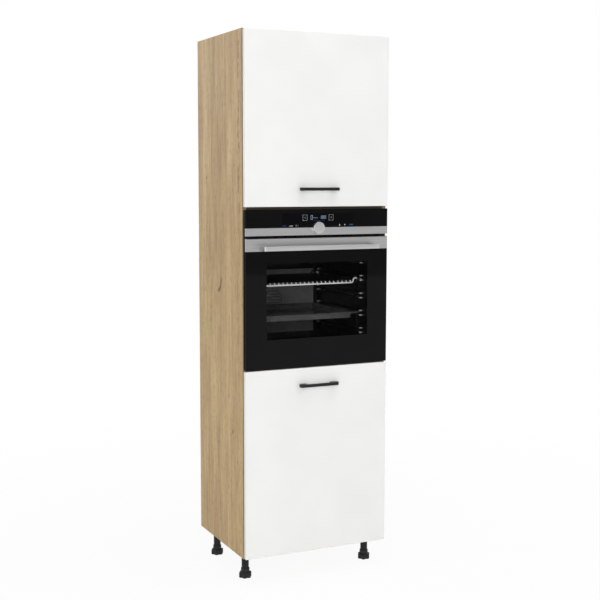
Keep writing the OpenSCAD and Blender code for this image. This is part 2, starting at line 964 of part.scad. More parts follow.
module fan_baffle() {
    half_w = baffle_w / 2;
    base = cavity_z + baffle_lift;
    color(enamel) unit() difference() {
        block([-half_w, baffle_y, base], [half_w, cavity_rear, base + baffle_h]);
        block(
            [-half_w + enamel_t, baffle_y + enamel_t, base - past],
            [half_w - enamel_t, cavity_rear + past, base + baffle_h - enamel_t]
        );
        // Inlet slots in front of the fan, shorter towards the top and bottom
        for (i = [0 : baffle_slots - 1]) {
            rise = (i - (baffle_slots - 1) / 2) * slot_pitch;
            reach = sqrt(pow(fan_r - slot_inset, 2) - rise * rise);
            block(
                [-reach, baffle_y - past, fan_z + rise - slot_h / 2],
                [reach, baffle_y + enamel_t + past, fan_z + rise + slot_h / 2]
            );
        }
    }
}

module fan_wheel() {
    shaft_end = cavity_rear + motor_d - motor_cap - motor_shaft_gap;
    color(steel) unit() {
        rod_y([0, fan_back, fan_z], fan_sheet, fan_r);
        rod_y([0, fan_front, fan_z], fan_depth, fan_hub_r);
        rod_y([0, fan_front, fan_z], shaft_end - fan_front, fan_shaft_r);
        for (i = [0 : fan_blades - 1])
            translate([0, 0, fan_z]) rotate([0, i * 360 / fan_blades, 0])
                block(
                    [fan_hub_r - past, fan_front, -fan_sheet / 2],
                    [fan_blade_r, fan_back, fan_sheet / 2]
                );
    }
}

module fan_motor() {
    base = cavity_rear + enamel_t;
    half_w = motor_plate_w / 2;
    color(zinc) unit() difference() {
        union() {
            block([-half_w, base, fan_z - half_w], [half_w, base + motor_plate_t, fan_z + half_w]);
            rod_y([0, base, fan_z], motor_d, motor_r);
        }
        rod_y([0, base - past, fan_z], motor_d - motor_cap + past, fan_shaft_r + turn_play);
    }
}

module ring_heater() {
    y = cavity_rear - heater_gap;
    color(steel) unit() {
        translate([0, y, fan_z]) rotate([90, 0, 0])
            rotate_extrude() translate([ring_r, 0]) circle(r = heater_r);
        for (a = [-heater_lead_angle, heater_lead_angle])
            rod_y([ring_r * sin(a), y, fan_z + ring_r * cos(a)], heater_gap, heater_r);
    }
}

// One heating rod in long loops, whose two outer runs end in the rear wall
module grill_element() {
    front = rail_front + grill_front_gap;
    rear = cavity_rear - grill_rear_gap;
    last = grill_rods - 1;
    first_x = -last / 2 * grill_pitch;
    color(steel) unit() translate([first_x, 0, cavity_top - grill_drop]) {
        for (i = [0 : last]) {
            end = i == 0 || i == last ? cavity_rear : rear;
            rod_y([i * grill_pitch, front, 0], end - front, heater_r);
        }
        for (i = [0 : last - 1])
            translate([(i + 0.5) * grill_pitch, i % 2 == 0 ? front : rear, 0])
                rotate(i % 2 == 0 ? 180 : 0) rotate_extrude(angle = 180)
                    translate([grill_pitch / 2, 0]) circle(r = heater_r);
    }
}

module oven_lamp() {
    z = cavity_top - lamp_drop;
    color("ivory") unit() {
        rod_y([lamp_x, cavity_rear - lamp_t, z], lamp_t, lamp_r);
        rod_y([lamp_x, cavity_rear - lamp_rim_t, z], lamp_rim_t, lamp_r + lamp_rim_w);
    }
}

// A rack ladder: a pair of wires a level, bent out to the cavity wall, on two posts
module rack_ladder() {
    low = level_z(0);
    high = level_z(rack_levels - 1) + wire_pair;
    for (i = [0 : rack_levels - 1], dz = [0, wire_pair]) {
        z = level_z(i) + dz;
        rod_y([rail_x, rail_front, z], rail_rear - rail_front, rail_r);
        for (y = [rail_front + rail_r, rail_rear - rail_r])
            rod_x([rail_x, y, z], rail_inset, rail_r);
    }
    for (y = [rail_front + post_front, rail_rear - post_rear])
        rod_z([post_x, y, low - post_over], high - low + 2 * post_over, rail_r);
}

module rack_ladder_left() {
    color(steel) unit() mirror([1, 0, 0]) rack_ladder();
}

module rack_ladder_right() {
    color(steel) unit() rack_ladder();
}

// The front or rear bar of the wire rack, lower than the side wires and hooked up to them
module rack_bar(y) {
    side = [rack_side_x, y, rack_wire_z];
    bend = [rack_side_x - rack_hook_in, y, rack_wire_z + rack_hook_up];
    foot = [rack_grid_w / 2 + rack_foot_out, y, rack_grid_z];
    mirrored() {
        wire(side, bend, rack_r - hook_taper, rack_r);
        wire(bend, foot, rack_r - 2 * hook_taper, rack_r);
    }
    rod_x([-foot.x - past, y, foot.z], 2 * (foot.x + past), rack_r);
}

module wire_rack() {
    rods = floor(rack_grid_w / 2 / rod_pitch);
    rod_z_mid = rack_grid_z + rack_r;
    crossbar_half = rods * rod_pitch + crossbar_over;
    color(steel) unit() {
        mirrored() rod_y([rack_side_x, rack_front, rack_wire_z], rack_rear - rack_front, rack_r);
        for (y = [rack_front, rack_rear]) rack_bar(y);
        for (i = [-rods : rods])
            rod_y(
                [i * rod_pitch, rack_front - past, rod_z_mid],
                rack_rear - rack_front + 2 * past, rod_r
            );
        for (t = [1 / 3, 2 / 3])
            rod_x(
                [-crossbar_half, rack_front + t * (rack_rear - rack_front), rod_z_mid - rod_r],
                2 * crossbar_half, crossbar_r
            );
    }
}

// The tray's tapered tub, inset by t on every side and from below
module tray_tub(t) {
    top = tray_z + tray_rim_h;
    low = top - tray_deep;
    half_w = tray_w / 2 - tray_rim;
    front = tray_front + tray_rim;
    rear = tray_rear - tray_rim;
    rise = t > 0 ? past : 0;
    grow = rise * tray_slope / tray_deep;
    intersection() {
        translate([0, rear + past, 0]) rotate([90, 0, 0]) linear_extrude(rear - front + 2 * past)
            polygon([
                [-half_w + t + tray_slope, low + t], [half_w - t - tray_slope, low + t],
                [half_w - t + grow, top + rise], [-half_w + t - grow, top + rise],
            ]);
        rotate([90, 0, 90]) translate([0, 0, -half_w - past]) linear_extrude(2 * half_w + 2 * past)
            polygon([
                [front + t + tray_slope, low + t], [rear - t - tray_slope, low + t],
                [rear - t + grow, top + rise], [front + t - grow, top + rise],
            ]);
    }
}

module baking_tray() {
    top = tray_z + tray_rim_h;
    half_w = tray_w / 2;
    color(enamel) unit() difference() {
        union() {
            tray_tub(0);
            difference() {
                block([-half_w, tray_front, tray_z], [half_w, tray_rear, top]);
                block(
                    [-half_w + tray_t, tray_front + tray_t, tray_z - past],
                    [half_w - tray_t, tray_rear - tray_t, top - tray_t]
                );
            }
        }
        tray_tub(tray_t);
    }
}

// Oven controls

module control_carrier() {
    half_w = housing_w / 2 - flange_t - carrier_play;
    low = control_z + carrier_edge;
    high = housing_top - 2 * sheet_t;
    boss_len = dial_boss_end - glass_back;
    color(black) unit() difference() {
        union() {
            block(
                [-oven_w / 2 + past, glass_back, low],
                [oven_w / 2 - past, glass_back + carrier_t, oven_top - carrier_edge]
            );
            difference() {
                block([-half_w, glass_back, low], [half_w, carrier_body_d, high]);
                block(
                    [-half_w + carrier_wall, glass_back + carrier_t, low + carrier_wall],
                    [half_w - carrier_wall, carrier_body_d + past, high - carrier_wall]
                );
            }
            rod_y([0, glass_back, dial_z], boss_len, dial_boss_r);
        }
        block(
            [-display_w / 2, glass_back - past, display_z[0]],
            [display_w / 2, glass_back + carrier_t + past, display_z[1]]
        );
        rod_y([0, glass_back - past, dial_z], boss_len + 2 * past, dial_shaft_r + turn_play);
    }
}

module fascia_piece(z0, z1) {
    difference() {
        block([-oven_w / 2, front_y, z0], [oven_w / 2, glass_back, z1]);
        rod_y([0, front_y - past, dial_z], glass_t + 2 * past, dial_shaft_r + move_gap);
    }
}

module control_glass() {
    color(black) unit() fascia_piece(control_split, oven_top);
}

module control_trim() {
    color(steel) unit() fascia_piece(control_z, control_split);
}

module display_module() {
    color("midnightblue") unit()
        block(
            [-display_w / 2, glass_back, display_z[0]],
            [display_w / 2, glass_back + display_d, display_z[1]]
        );
}

module dial_knob() {
    face = front_y - dial_gap;
    color(steel) unit() {
        rod_y([0, face - dial_t, dial_z], dial_t, dial_d / 2);
        rod_y([0, face - past, dial_z], dial_shaft_end - face + past, dial_shaft_r);
    }
}

module oven_fixing_screws() {
    color(zinc) unit() mirrored() for (z = oven_screw_z) {
        rod_y([oven_screw_x, -flange_t - oven_screw_head_t, z], oven_screw_head_t, oven_screw_head_r);
        rod_y([oven_screw_x, -flange_t, z], flange_t + oven_screw_len, oven_screw_r);
    }
}

module terminal_box() {
    z = oven_shelf_top + terminal_lift;
    gland_x = terminal_x + terminal_w / 2;
    color(black) unit() {
        block([terminal_x, housing_d, z], [terminal_x + terminal_w, rear_reach, z + terminal_h]);
        rod_z(
            [gland_x, housing_d + terminal_d / 2, z - gland_h],
            gland_h + past, terminal_d / 2 - gland_inset
        );
    }
}

// The static half of an oven door hinge: a cassette with a tongue that holds the pivot pin
module oven_hinge_cassettes() {
    front = frame_y + flange_t + move_gap;
    base = oven_shelf_top + sheet_t;
    color(zinc) unit() mirrored() difference() {
        union() {
            block(
                [tongue_x - cassette_w / 2, front, base],
                [tongue_x + cassette_w / 2, front + cassette_d, base + cassette_h]
            );
            block(
                [tongue_x - tongue_t / 2, oven_pivot_y, oven_pivot_z - tongue_r],
                [tongue_x + tongue_t / 2, front + past, oven_pivot_z + tongue_r]
            );
            rod_x([tongue_x - tongue_t / 2, oven_pivot_y, oven_pivot_z], tongue_t, tongue_r);
        }
        rod_x([tongue_x - tongue_t, oven_pivot_y, oven_pivot_z], 2 * tongue_t, oven_pin_r + turn_play);
    }
}

// Oven door

module oven_door_glass() {
    color(black) unit()
        block([-oven_w / 2, front_y, oven_z], [oven_w / 2, glass_back, oven_door_top - door_trim_h]);
}

module oven_door_trim() {
    half_w = oven_w / 2;
    color(steel) unit() {
        block([-half_w, front_y, oven_door_top - door_trim_h], [half_w, glass_back, oven_door_top]);
        block([-half_w, front_y, oven_door_top - trim_lip], [half_w, door_frame_y, oven_door_top]);
    }
}

// A channel ring behind the glass with a step that carries the inner pane
module oven_door_frame() {
    w = door_frame_wall;
    top = oven_door_top - trim_lip;
    view_half = view_w / 2;
    slot_half = tongue_t / 2 + tongue_gap;
    color(black) unit() difference() {
        union() {
            ring(glass_back, door_frame_y, door_frame_w / 2, [door_frame_low, top], view_half, view_z);
            ring(glass_back, step_back, step_w / 2, step_z, view_half, view_z);
        }
        ring(
            glass_back - past, door_frame_y - w, door_frame_w / 2 - w, [door_frame_low + w, top - w],
            view_half + w, [view_z[0] - w, view_z[1] + w]
        );
        ring(
            glass_back - past, step_back - w, step_w / 2 - w, [step_z[0] + w, step_z[1] - w],
            view_half + w, [view_z[0] - w, view_z[1] + w]
        );
        // The tongues swing through these slots
        mirrored()
            block(
                [tongue_x - slot_half, glass_back - past, door_frame_low - past],
                [tongue_x + slot_half, door_frame_y + past, oven_pivot_z + tongue_r + tongue_gap]
            );
    }
}

// The inner pane that meets the seal, and the middle pane in the frame's opening
module oven_inner_glass() {
    color("lightblue") unit() {
        block([-step_w / 2, step_back, step_z[0]], [step_w / 2, inner_glass_back, step_z[1]]);
        block(
            [-view_w / 2, middle_glass_y, view_z[0]],
            [view_w / 2, middle_glass_y + glass_t, view_z[1]]
        );
    }
}

// A straight bar with a foot turned back at each end
module oven_handle() {
    half = oven_handle_w / 2;
    r = oven_handle_round;
    gap_half = half - oven_handle_foot;
    color(steel) unit()
        translate([0, front_y, oven_door_top - door_trim_h + oven_handle_lift])
            mirror([0, 1, 0]) linear_extrude(oven_handle_h)
                difference() {
                    union() {
                        translate([-half, 0]) square([2 * half, oven_handle_out - r]);
                        translate([r - half, 0]) square([2 * (half - r), oven_handle_out]);
                        for (x = [r - half, half - r])
                            translate([x, oven_handle_out - r]) circle(r = r);
                    }
                    translate([-gap_half, -past])
                        square([2 * gap_half, oven_handle_out - oven_handle_bar + past]);
                }
}

// The moving half of an oven door hinge: two cheeks and the pin through the tongue
module oven_door_hinges() {
    inner = tongue_t / 2 + tongue_gap;
    low = door_frame_low + door_frame_wall;
    color(zinc) unit() mirrored() {
        for (x = [tongue_x - inner - hinge_side_t, tongue_x + inner])
            block(
                [x, glass_back, low],
                [x + hinge_side_t, door_frame_y - door_frame_wall, low + hinge_side_h]
            );
        rod_x([tongue_x - inner - past, oven_pivot_y, oven_pivot_z], 2 * (inner + past), oven_pin_r);
    }
}

side_panel_left();
side_panel_right();
bottom_panel();
top_panel();
oven_shelf();
niche_top_shelf();
back_panel_upper();
back_panel_lower();
upper_shelf();
lower_shelf();
shelf_pins();
cam_locks();
cam_bolts();
upper_hinge_mounts();
lower_hinge_mounts();
wall_brackets();
chipboard_screws();
leg_sockets();
leg_tubes();
oven_housing();
oven_front_frame();
oven_cavity();
cavity_seal();
fan_baffle();
fan_motor();
ring_heater();
grill_element();
oven_lamp();
rack_ladder_left();
rack_ladder_right();
wire_rack();
baking_tray();
control_carrier();
control_glass();
control_trim();
display_module();
oven_fixing_screws();
oven_hinge_cassettes();
terminal_box();
upper_door_panel();
upper_door_handle();
upper_handle_screws();
upper_hinge_cups();
lower_door_panel();
lower_door_handle();
lower_handle_screws();
lower_hinge_cups();
oven_door_glass();
oven_door_trim();
oven_door_frame();
oven_inner_glass();
oven_handle();
oven_door_hinges();
dial_knob();
fan_wheel();
foot_front_left();
foot_front_right();
foot_rear_left();
foot_rear_right();
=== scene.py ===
import json
import math

import bmesh
import bpy
import numpy as np
from mathutils import Matrix, Vector


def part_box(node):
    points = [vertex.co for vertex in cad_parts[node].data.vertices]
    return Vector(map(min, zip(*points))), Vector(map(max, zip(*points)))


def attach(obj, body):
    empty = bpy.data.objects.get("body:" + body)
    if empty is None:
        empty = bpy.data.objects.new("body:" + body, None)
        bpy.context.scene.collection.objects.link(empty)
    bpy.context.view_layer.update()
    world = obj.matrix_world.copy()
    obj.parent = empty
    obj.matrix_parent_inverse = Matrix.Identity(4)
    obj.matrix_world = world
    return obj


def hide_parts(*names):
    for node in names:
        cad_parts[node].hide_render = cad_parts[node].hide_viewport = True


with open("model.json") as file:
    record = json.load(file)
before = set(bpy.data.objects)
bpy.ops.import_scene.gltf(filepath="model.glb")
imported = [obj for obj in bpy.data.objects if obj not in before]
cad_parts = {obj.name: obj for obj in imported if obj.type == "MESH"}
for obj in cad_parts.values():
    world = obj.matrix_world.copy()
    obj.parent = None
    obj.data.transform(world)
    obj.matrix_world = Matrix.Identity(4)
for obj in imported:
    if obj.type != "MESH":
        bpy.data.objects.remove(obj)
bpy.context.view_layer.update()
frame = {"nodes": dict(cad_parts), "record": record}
nodes = frame["nodes"]
mm = 0.001
print("frame loaded:", len(nodes), "nodes")

# where the camera stood, which way it looked (degrees), how long its lens was (mm) and how near and far it sees
photoView = {"at": (-1.8628, -4.0373, 1.5255), "turn": 25.273, "down": 6.104, "roll": 0.107,
             "lens": 67.263, "sensor": 36, "nearest": 0.05, "farthest": 200}


def addObject(name, data):
    made = bpy.data.objects.new(name, data)
    bpy.context.scene.collection.objects.link(made)
    return made


def makeCamera(v):  # the way ahead comes from the turn and the dip, then right and up are rolled about it
    turn, down, roll = (math.radians(v[k]) for k in ("turn", "down", "roll"))
    ahead = Vector((math.sin(turn) * math.cos(down), math.cos(turn) * math.cos(down), -math.sin(down)))
    right = Vector((math.cos(turn), -math.sin(turn), 0))
    up = right.cross(ahead)
    side = right * math.cos(roll) + up * math.sin(roll)
    top = up * math.cos(roll) - right * math.sin(roll)
    data = bpy.data.cameras.new("photoCamera")
    data.lens, data.sensor_width = v["lens"], v["sensor"]
    data.clip_start, data.clip_end = v["nearest"], v["farthest"]
    camera = addObject("photoCamera", data)
    camera.matrix_world = Matrix.Translation(v["at"]) @ Matrix((side, top, -ahead)).transposed().to_4x4()
    bpy.context.scene.camera = camera


makeCamera(photoView)
print("camera placed")


def linear(hexColour):  # an sRGB hex colour as linear red, green, blue and an alpha of 1
    c = np.array([int(hexColour[i:i + 2], 16) for i in (1, 3, 5)]) / 255
    c = np.where(c <= 0.04045, c / 12.92, ((c + 0.055) / 1.055) ** 2.4)
    return (*c.tolist(), 1.0)


# One node with its settings: a value or a link for each input, a ramp's places with their hex colours, the two outer ones
# first, and a range's ends: from, to, and what these two become if that isn't 0 and 1.
def addNode(tree, kind, inputs=None, stops=(), ends=(), **settings):
    made = tree.nodes.new("ShaderNode" + kind)
    for name, value in settings.items():
        setattr(made, name, value)
    for key, value in {**(inputs or {}), **dict(zip(("From Min", "From Max", "To Min", "To Max"), ends))}.items():
        value = value.outputs[0] if isinstance(value, bpy.types.Node) else value
        if isinstance(value, bpy.types.NodeSocket):
            tree.links.new(value, made.inputs[key])
        else:
            made.inputs[key].default_value = value
    for i, (place, colour) in enumerate(stops):
        stop = made.color_ramp.elements[i] if i < 2 else made.color_ramp.elements.new(place)
        stop.position, stop.color = place, linear(colour)
    return made


def startMaterial(name):  # an empty material, its tree, and the object's own coordinates in metres
    made = bpy.data.materials.new(name)
    made.use_nodes = True
    made.node_tree.nodes.clear()
    return made, made.node_tree, addNode(made.node_tree, "TexCoord").outputs["Object"]


def endMaterial(made, sockets):  # the shader with its numbers and links, and the output
    shader = addNode(made.node_tree, "BsdfPrincipled", sockets)
    addNode(made.node_tree, "OutputMaterial", {"Surface": shader})
    return made


# What most materials end with. tones: a pattern, two of its values and their hex colours. rough: a pattern, two of its values
# and their roughnesses. relief: a pattern, its strength and its depth in mm. over: shares, and the colours mixed in by them.
def finishMaterial(made, tones, rough, relief=None, over=(), more=None):
    tree = made.node_tree
    pattern, low, high, lowHex, highHex = tones
    colour = addNode(tree, "ValToRGB", {"Fac": pattern}, [(low, lowHex), (high, highHex)])
    for share, shade in over:
        colour = addNode(tree, "MixRGB", {"Fac": share, "Color1": colour, "Color2": linear(shade)})
    gloss = addNode(tree, "MapRange", {"Value": rough[0]}, ends=rough[1:])
    sockets = {"Base Color": colour, "Roughness": gloss, **(more or {})}
    if relief:
        height, strength, deep = relief
        sockets["Normal"] = addNode(tree, "Bump", {"Height": height, "Strength": strength, "Distance": deep * mm})
    return endMaterial(made, sockets)


# Soft random tones: the spots are so many mm long, on each axis if three sizes are given.
def grain(tree, place, sizeMm, detail=3.0, rough=0.55, shift=(0, 0, 0)):
    scale = [1000 / size for size in np.broadcast_to(sizeMm, 3)]
    scaled = addNode(tree, "Mapping", {"Vector": place, "Location": shift, "Scale": scale})
    return addNode(tree, "TexNoise", {"Vector": scaled, "Scale": 1.0, "Detail": detail, "Roughness": rough})


oak = {
    "light": "#DABE8A", "body": "#C7A977", "dark": "#B09167", "line": "#A07A52", "pore": "#82593A", "knot": "#54402C",
    "gold": "#D5BA82", "rose": "#BC976C", "band": "#7A6044", "shade": "#241D16",
}
# places in the print, in metres: how far across the board, how far up it, half the width and half the height
oakPrint = {
    "knots": ((-0.1644, 1.533, 0.007, 0.010), (-0.43, 0.57, 0.008, 0.013), (0.30, 1.62, 0.008, 0.012),
              (0.46, 0.88, 0.009, 0.014), (0.08, 0.16, 0.007, 0.012)),
    "clouds": ((-0.268, 1.060, 0.045, 0.040), (-0.235, 1.205, 0.018, 0.060), (0.35, 1.20, 0.040, 0.050)),
    "crack": (-0.2690, 1.143, 0.046, 0.046), "streak": -0.497, "wander": 0.05, "frontEdge": -0.230, "edgeSoft": 0.4 * mm,
}


def fromSpot(tree, flat, spot):  # places about a spot in units of its half sizes, and how far they are from it
    across, up, halfWide, halfHigh = spot
    about = addNode(tree, "Mapping", {"Vector": flat, "Location": (-across / halfWide, -up / halfHigh, 0),
                                      "Scale": (1 / halfWide, 1 / halfHigh, 1)})
    return about, addNode(tree, "VectorMath", {0: about}, operation="LENGTH").outputs["Value"]


def nearSpots(tree, flat, spots, full, none):  # 1 within the first share of a spot's half sizes, falling to 0 at the second
    most = 0.0
    for spot in spots:
        away = fromSpot(tree, flat, spot)[1]
        near = addNode(tree, "MapRange", {"Value": away}, ends=(full, none, 1.0, 0.0), interpolation_type="SMOOTHSTEP")
        most = addNode(tree, "Math", {0: near, 1: most}, operation="MAXIMUM")
    return most


def oakCrack(tree, flat):  # a ragged arc on the front and lower side of a circle round its knot
    about, away = fromSpot(tree, flat, oakPrint["crack"])
    uneven = grain(tree, flat, (12, 28, 1), 3.0, 0.7, (6.0, 4.0, 0))
    ragged = addNode(tree, "Math", {0: uneven, 1: 0.3, 2: 0.85}, operation="MULTIPLY_ADD")
    ring = addNode(tree, "Math", {0: away, 1: ragged}, operation="SUBTRACT")
    offRing = addNode(tree, "Math", {0: ring}, operation="ABSOLUTE")
    thin = addNode(tree, "MapRange", {"Value": offRing}, ends=(0.06, 0.22, 1.0, 0.0))
    side = addNode(tree, "SeparateXYZ", {"Vector": about})
    forward = addNode(tree, "MapRange", {"Value": side.outputs["X"]}, ends=(0.0, -0.5))
    below = addNode(tree, "MapRange", {"Value": side.outputs["Y"]}, ends=(0.35, 0.0))
    quarterRing = addNode(tree, "Math", {0: forward, 1: below}, operation="MULTIPLY")
    return addNode(tree, "Math", {0: thin, 1: quarterRing}, operation="MULTIPLY")


def oakStreak(tree, flat, across, up):  # a broken dark line that wanders beside the front edge, fainter below eye height
    wander = grain(tree, flat, (26, 80, 1), 2.0, 0.6, (4.0, 2.0, 0))
    shifted = addNode(tree, "Math", {0: wander, 1: oakPrint["wander"], 2: across}, operation="MULTIPLY_ADD")
    toLine = -oakPrint["streak"] - oakPrint["wander"] / 2
    fromLine = addNode(tree, "Math", {0: shifted, 1: toLine}, operation="ADD")
    offLine = addNode(tree, "Math", {0: fromLine}, operation="ABSOLUTE")
    onLine = addNode(tree, "MapRange", {"Value": offLine}, ends=(0.002, 0.010, 0.8, 0.0))
    uneven = grain(tree, flat, (30, 60, 1), 3.0, 0.6, (3.0, 9.0, 0))
    dashes = addNode(tree, "MapRange", {"Value": uneven}, ends=(0.44, 0.56))
    upper = addNode(tree, "MapRange", {"Value": up}, ends=(1.25, 1.5, 0.3, 1.0))
    broken = addNode(tree, "Math", {0: onLine, 1: dashes}, operation="MULTIPLY")
    return addNode(tree, "Math", {0: broken, 1: upper}, operation="MULTIPLY")


# Year rings: the distance across the board times 24 a metre, bent by slow waves 1.1 m long, by the knots and by a finer ripple,
# folded into lines, and stronger in some regions than in others.
def oakArches(tree, flat, across):
    pushed = nearSpots(tree, flat, oakPrint["knots"] + (oakPrint["crack"],), 0.0, 5.0)
    slow = grain(tree, flat, (170, 1150, 1), 2.0, shift=(0.3, 0.51, 0))
    ripple = grain(tree, flat, (30, 190, 1), 3.0, shift=(2.0, 3.4, 0))
    rings = 0.0
    for bend, times in ((across, 24.0), (slow, 11.0), (pushed, 2.2), (ripple, 1.8)):
        rings = addNode(tree, "Math", {0: bend, 1: times, 2: rings}, operation="MULTIPLY_ADD")
    wave = addNode(tree, "Math", {0: rings, 1: 0.5}, operation="PINGPONG")
    lines = addNode(tree, "MapRange", {"Value": wave}, ends=(0.22, 0.5), interpolation_type="SMOOTHSTEP")
    region = grain(tree, flat, (120, 500, 1), 2.0, shift=(5.0, 8.5, 0))
    strength = addNode(tree, "MapRange", {"Value": region}, ends=(0.42, 0.64, 0.02, 0.34))
    return addNode(tree, "Math", {0: lines, 1: strength}, operation="MULTIPLY")


# Melamine board with a natural oak print under a matt film: pale grain in soft bands and faint arches, gold and rose
# clouds, flecks and short pores, a few small knots, one cracked knot on the left side, and a darker front edge, partly
# the band glued there and partly painted shade from the gap before it; where a board stands in a dark gap its edge is
# near-black painted shade.
def oakMelamine(name, alongX=False, band="band", bandShare=0.7):
    made, tree, place = startMaterial(name)
    upright = addNode(tree, "Mapping", {"Vector": place, "Rotation": (0, math.pi / 2 if alongX else 0, 0)})
    part = addNode(tree, "SeparateXYZ", {"Vector": upright})
    across = addNode(tree, "Math", {0: part.outputs["X"], 1: part.outputs["Y"]}, operation="ADD")
    flat = addNode(tree, "CombineXYZ", {"X": across, "Y": part.outputs["Z"]})

    bands = grain(tree, flat, (85, 1500, 1), 2.0, shift=(9.0, 15.3, 0))
    streaks = grain(tree, flat, (15, 300, 1), 4.0, 0.62, (7.0, 11.9, 0))
    tone = addNode(tree, "Mix", {"Factor": 0.5, "A": streaks, "B": bands})
    clouds = grain(tree, flat, (75, 380, 1), 2.0, 0.55, (15.0, 6.0, 0))
    rose = addNode(tree, "MapRange", {"Value": clouds}, ends=(0.52, 0.68, 0.0, 0.5))
    gold = addNode(tree, "MapRange", {"Value": clouds}, ends=(0.48, 0.34, 0.0, 0.5))
    # real pores are 0.3 mm wide and flecks 1 mm; these are drawn 1.8 and 6 mm wide so that they show
    vessels = grain(tree, flat, (1.8, 42, 1), 2.0, 0.7, (11.0, 18.7, 0))
    pores = addNode(tree, "MapRange", {"Value": vessels}, ends=(0.54, 0.72))
    flecks = grain(tree, flat, (6, 30, 1), 2.0, 0.65, (13.0, 21.0, 0))
    flecked = addNode(tree, "MapRange", {"Value": flecks}, ends=(0.56, 0.70, 0.0, 0.55))
    front, soft = oakPrint["frontEdge"], oakPrint["edgeSoft"]
    # painted shade in part: the front edge face is darkened toward the band colour, partly edge band and partly the
    # gap's shade
    edgeBandAndShade = addNode(tree, "MapRange", {"Value": part.outputs["Y"]}, ends=(front + soft, front - soft, 0.0, bandShare))

    colour = addNode(tree, "ValToRGB", {"Fac": tone}, [(0.38, oak["dark"]), (0.62, oak["light"]), (0.5, oak["body"])])
    layers = (
        (rose, 1.0, "rose"), (gold, 1.0, "gold"), (oakArches(tree, flat, across), 1.0, "line"), (pores, 0.34, "pore"),
        (flecked, 1.0, "pore"), (nearSpots(tree, flat, oakPrint["clouds"], 0.1, 1.0), 0.34, "line"),
        (oakStreak(tree, flat, across, part.outputs["Z"]), 1.0, "pore"), (oakCrack(tree, flat), 0.9, "knot"),
        (nearSpots(tree, flat, oakPrint["knots"], 0.2, 1.0), 0.85, "knot"), (edgeBandAndShade, 1.0, band),
    )
    for share, most, shade in layers:
        amount = addNode(tree, "Math", {0: share, 1: most}, operation="MULTIPLY")
        colour = addNode(tree, "MixRGB", {"Fac": amount, "Color1": colour, "Color2": linear(oak[shade])})
    gloss = addNode(tree, "MapRange", {"Value": tone}, ends=(0, 1, 0.62, 0.48))
    pressed = addNode(tree, "Bump", {"Height": pores, "Strength": 0.25, "Distance": 0.15 * mm}, invert=True)
    return endMaterial(made, {"Base Color": colour, "Roughness": gloss, "Normal": pressed})


# Hardboard back with a printed paper face: the oak print again, paler and flatter, with the soft waviness of pressed fibre.
def printedHardboard(name):
    made, tree, place = startMaterial(name)
    streaks = grain(tree, place, (14, 14, 520), 4.0)
    fibre = grain(tree, place, 2.5)
    return finishMaterial(made, (streaks, 0.34, 0.66, "#B9A17A", "#CBB58E"), (fibre, 0, 1, 0.5, 0.75), (fibre, 0.15, 0.2))


# MDF front in white lacquer, sprayed and polished: an even white whose reflections waver slightly over an orange peel of 3 mm.
def whiteLacquer(name):
    made, tree, place = startMaterial(name)
    peel = grain(tree, place, 3.2, 2.0)
    cloud = grain(tree, place, 160, 1.0)
    return finishMaterial(made, (cloud, 0.3, 0.7, "#F1F1EF", "#F4F4F2"), (cloud, 0.3, 0.7, 0.05, 0.09), (peel, 0.03, 0.1))


# Cast zinc with a black powder coat, baked on: a satin skin with a fine leathery grain, polished greyer where fingers rub
# the edges.
def blackPowderCoat(name):
    made, tree, place = startMaterial(name)
    leather = grain(tree, place, 1.1)
    touch = grain(tree, place, (24, 9, 9), 2.0)
    edge = addNode(tree, "Attribute", attribute_name="edge").outputs["Fac"]
    rubbed = addNode(tree, "Math", {0: edge, 1: touch}, operation="MULTIPLY")
    return finishMaterial(made, (leather, 0.3, 0.7, "#141415", "#1D1D1E"), (rubbed, 0, 1, 0.46, 0.32), (leather, 0.22, 0.1),
                          [(rubbed, "#323234")], {"Specular IOR Level": 0.3})


# Steel fittings plated with bright zinc: a cool, slightly cloudy metal with fine tumbling marks.
def brightZinc(name):
    made, tree, place = startMaterial(name)
    cloud = grain(tree, place, 7)
    tumbled = grain(tree, place, 0.9, 2.0)
    return finishMaterial(made, (cloud, 0.32, 0.68, "#A9AEB2", "#C4C8CB"), (cloud, 0.3, 0.7, 0.22, 0.42),
                          (tumbled, 0.12, 0.06), more={"Metallic": 1.0})


# Hot-dip galvanised sheet: frozen zinc crystals of about 12 mm, each with its own grey and its own shine, and faint rolling
# lines. The crystals' borders are bent by up to 6 mm.
def galvanisedSheet(name):
    made, tree, place = startMaterial(name)
    bent = addNode(tree, "VectorMath", {0: grain(tree, place, 9, 2.0), 1: [6 * mm] * 3}, operation="MULTIPLY")
    moved = addNode(tree, "VectorMath", {0: place, 1: bent}, operation="ADD")
    crystals = addNode(tree, "TexVoronoi", {"Vector": moved, "Scale": 1000 / 12})
    each = addNode(tree, "SeparateXYZ", {"Vector": crystals.outputs["Color"]})
    rolled = grain(tree, place, (60, 60, 1.4), 2.0)
    mixed = addNode(tree, "Mix", {"Factor": 0.3, "A": each.outputs["X"], "B": rolled})
    return finishMaterial(made, (mixed, 0.1, 0.9, "#8E9395", "#BDC1C2"), (each.outputs["Y"], 0, 1, 0.28, 0.5),
                          (each.outputs["Z"], 0.12, 0.1), more={"Metallic": 1.0})


# Black polypropylene, moulded in a spark-eroded tool: a matt grain with greyer, smoother corners where it has been scuffed.
def mouldedPolypropylene(name):
    made, tree, place = startMaterial(name)
    eroded = grain(tree, place, 0.9, 3.0, 0.65)
    flow = grain(tree, place, 30, 2.0)
    edge = addNode(tree, "Attribute", attribute_name="edge").outputs["Fac"]
    scuffed = addNode(tree, "Math", {0: edge, 1: flow}, operation="MULTIPLY")
    return finishMaterial(made, (flow, 0.3, 0.7, "#131314", "#1A1A1B"), (eroded, 0.3, 0.7, 0.42, 0.58), (eroded, 0.3, 0.12),
                          [(scuffed, "#2E2E30")], {"Specular IOR Level": 0.25})


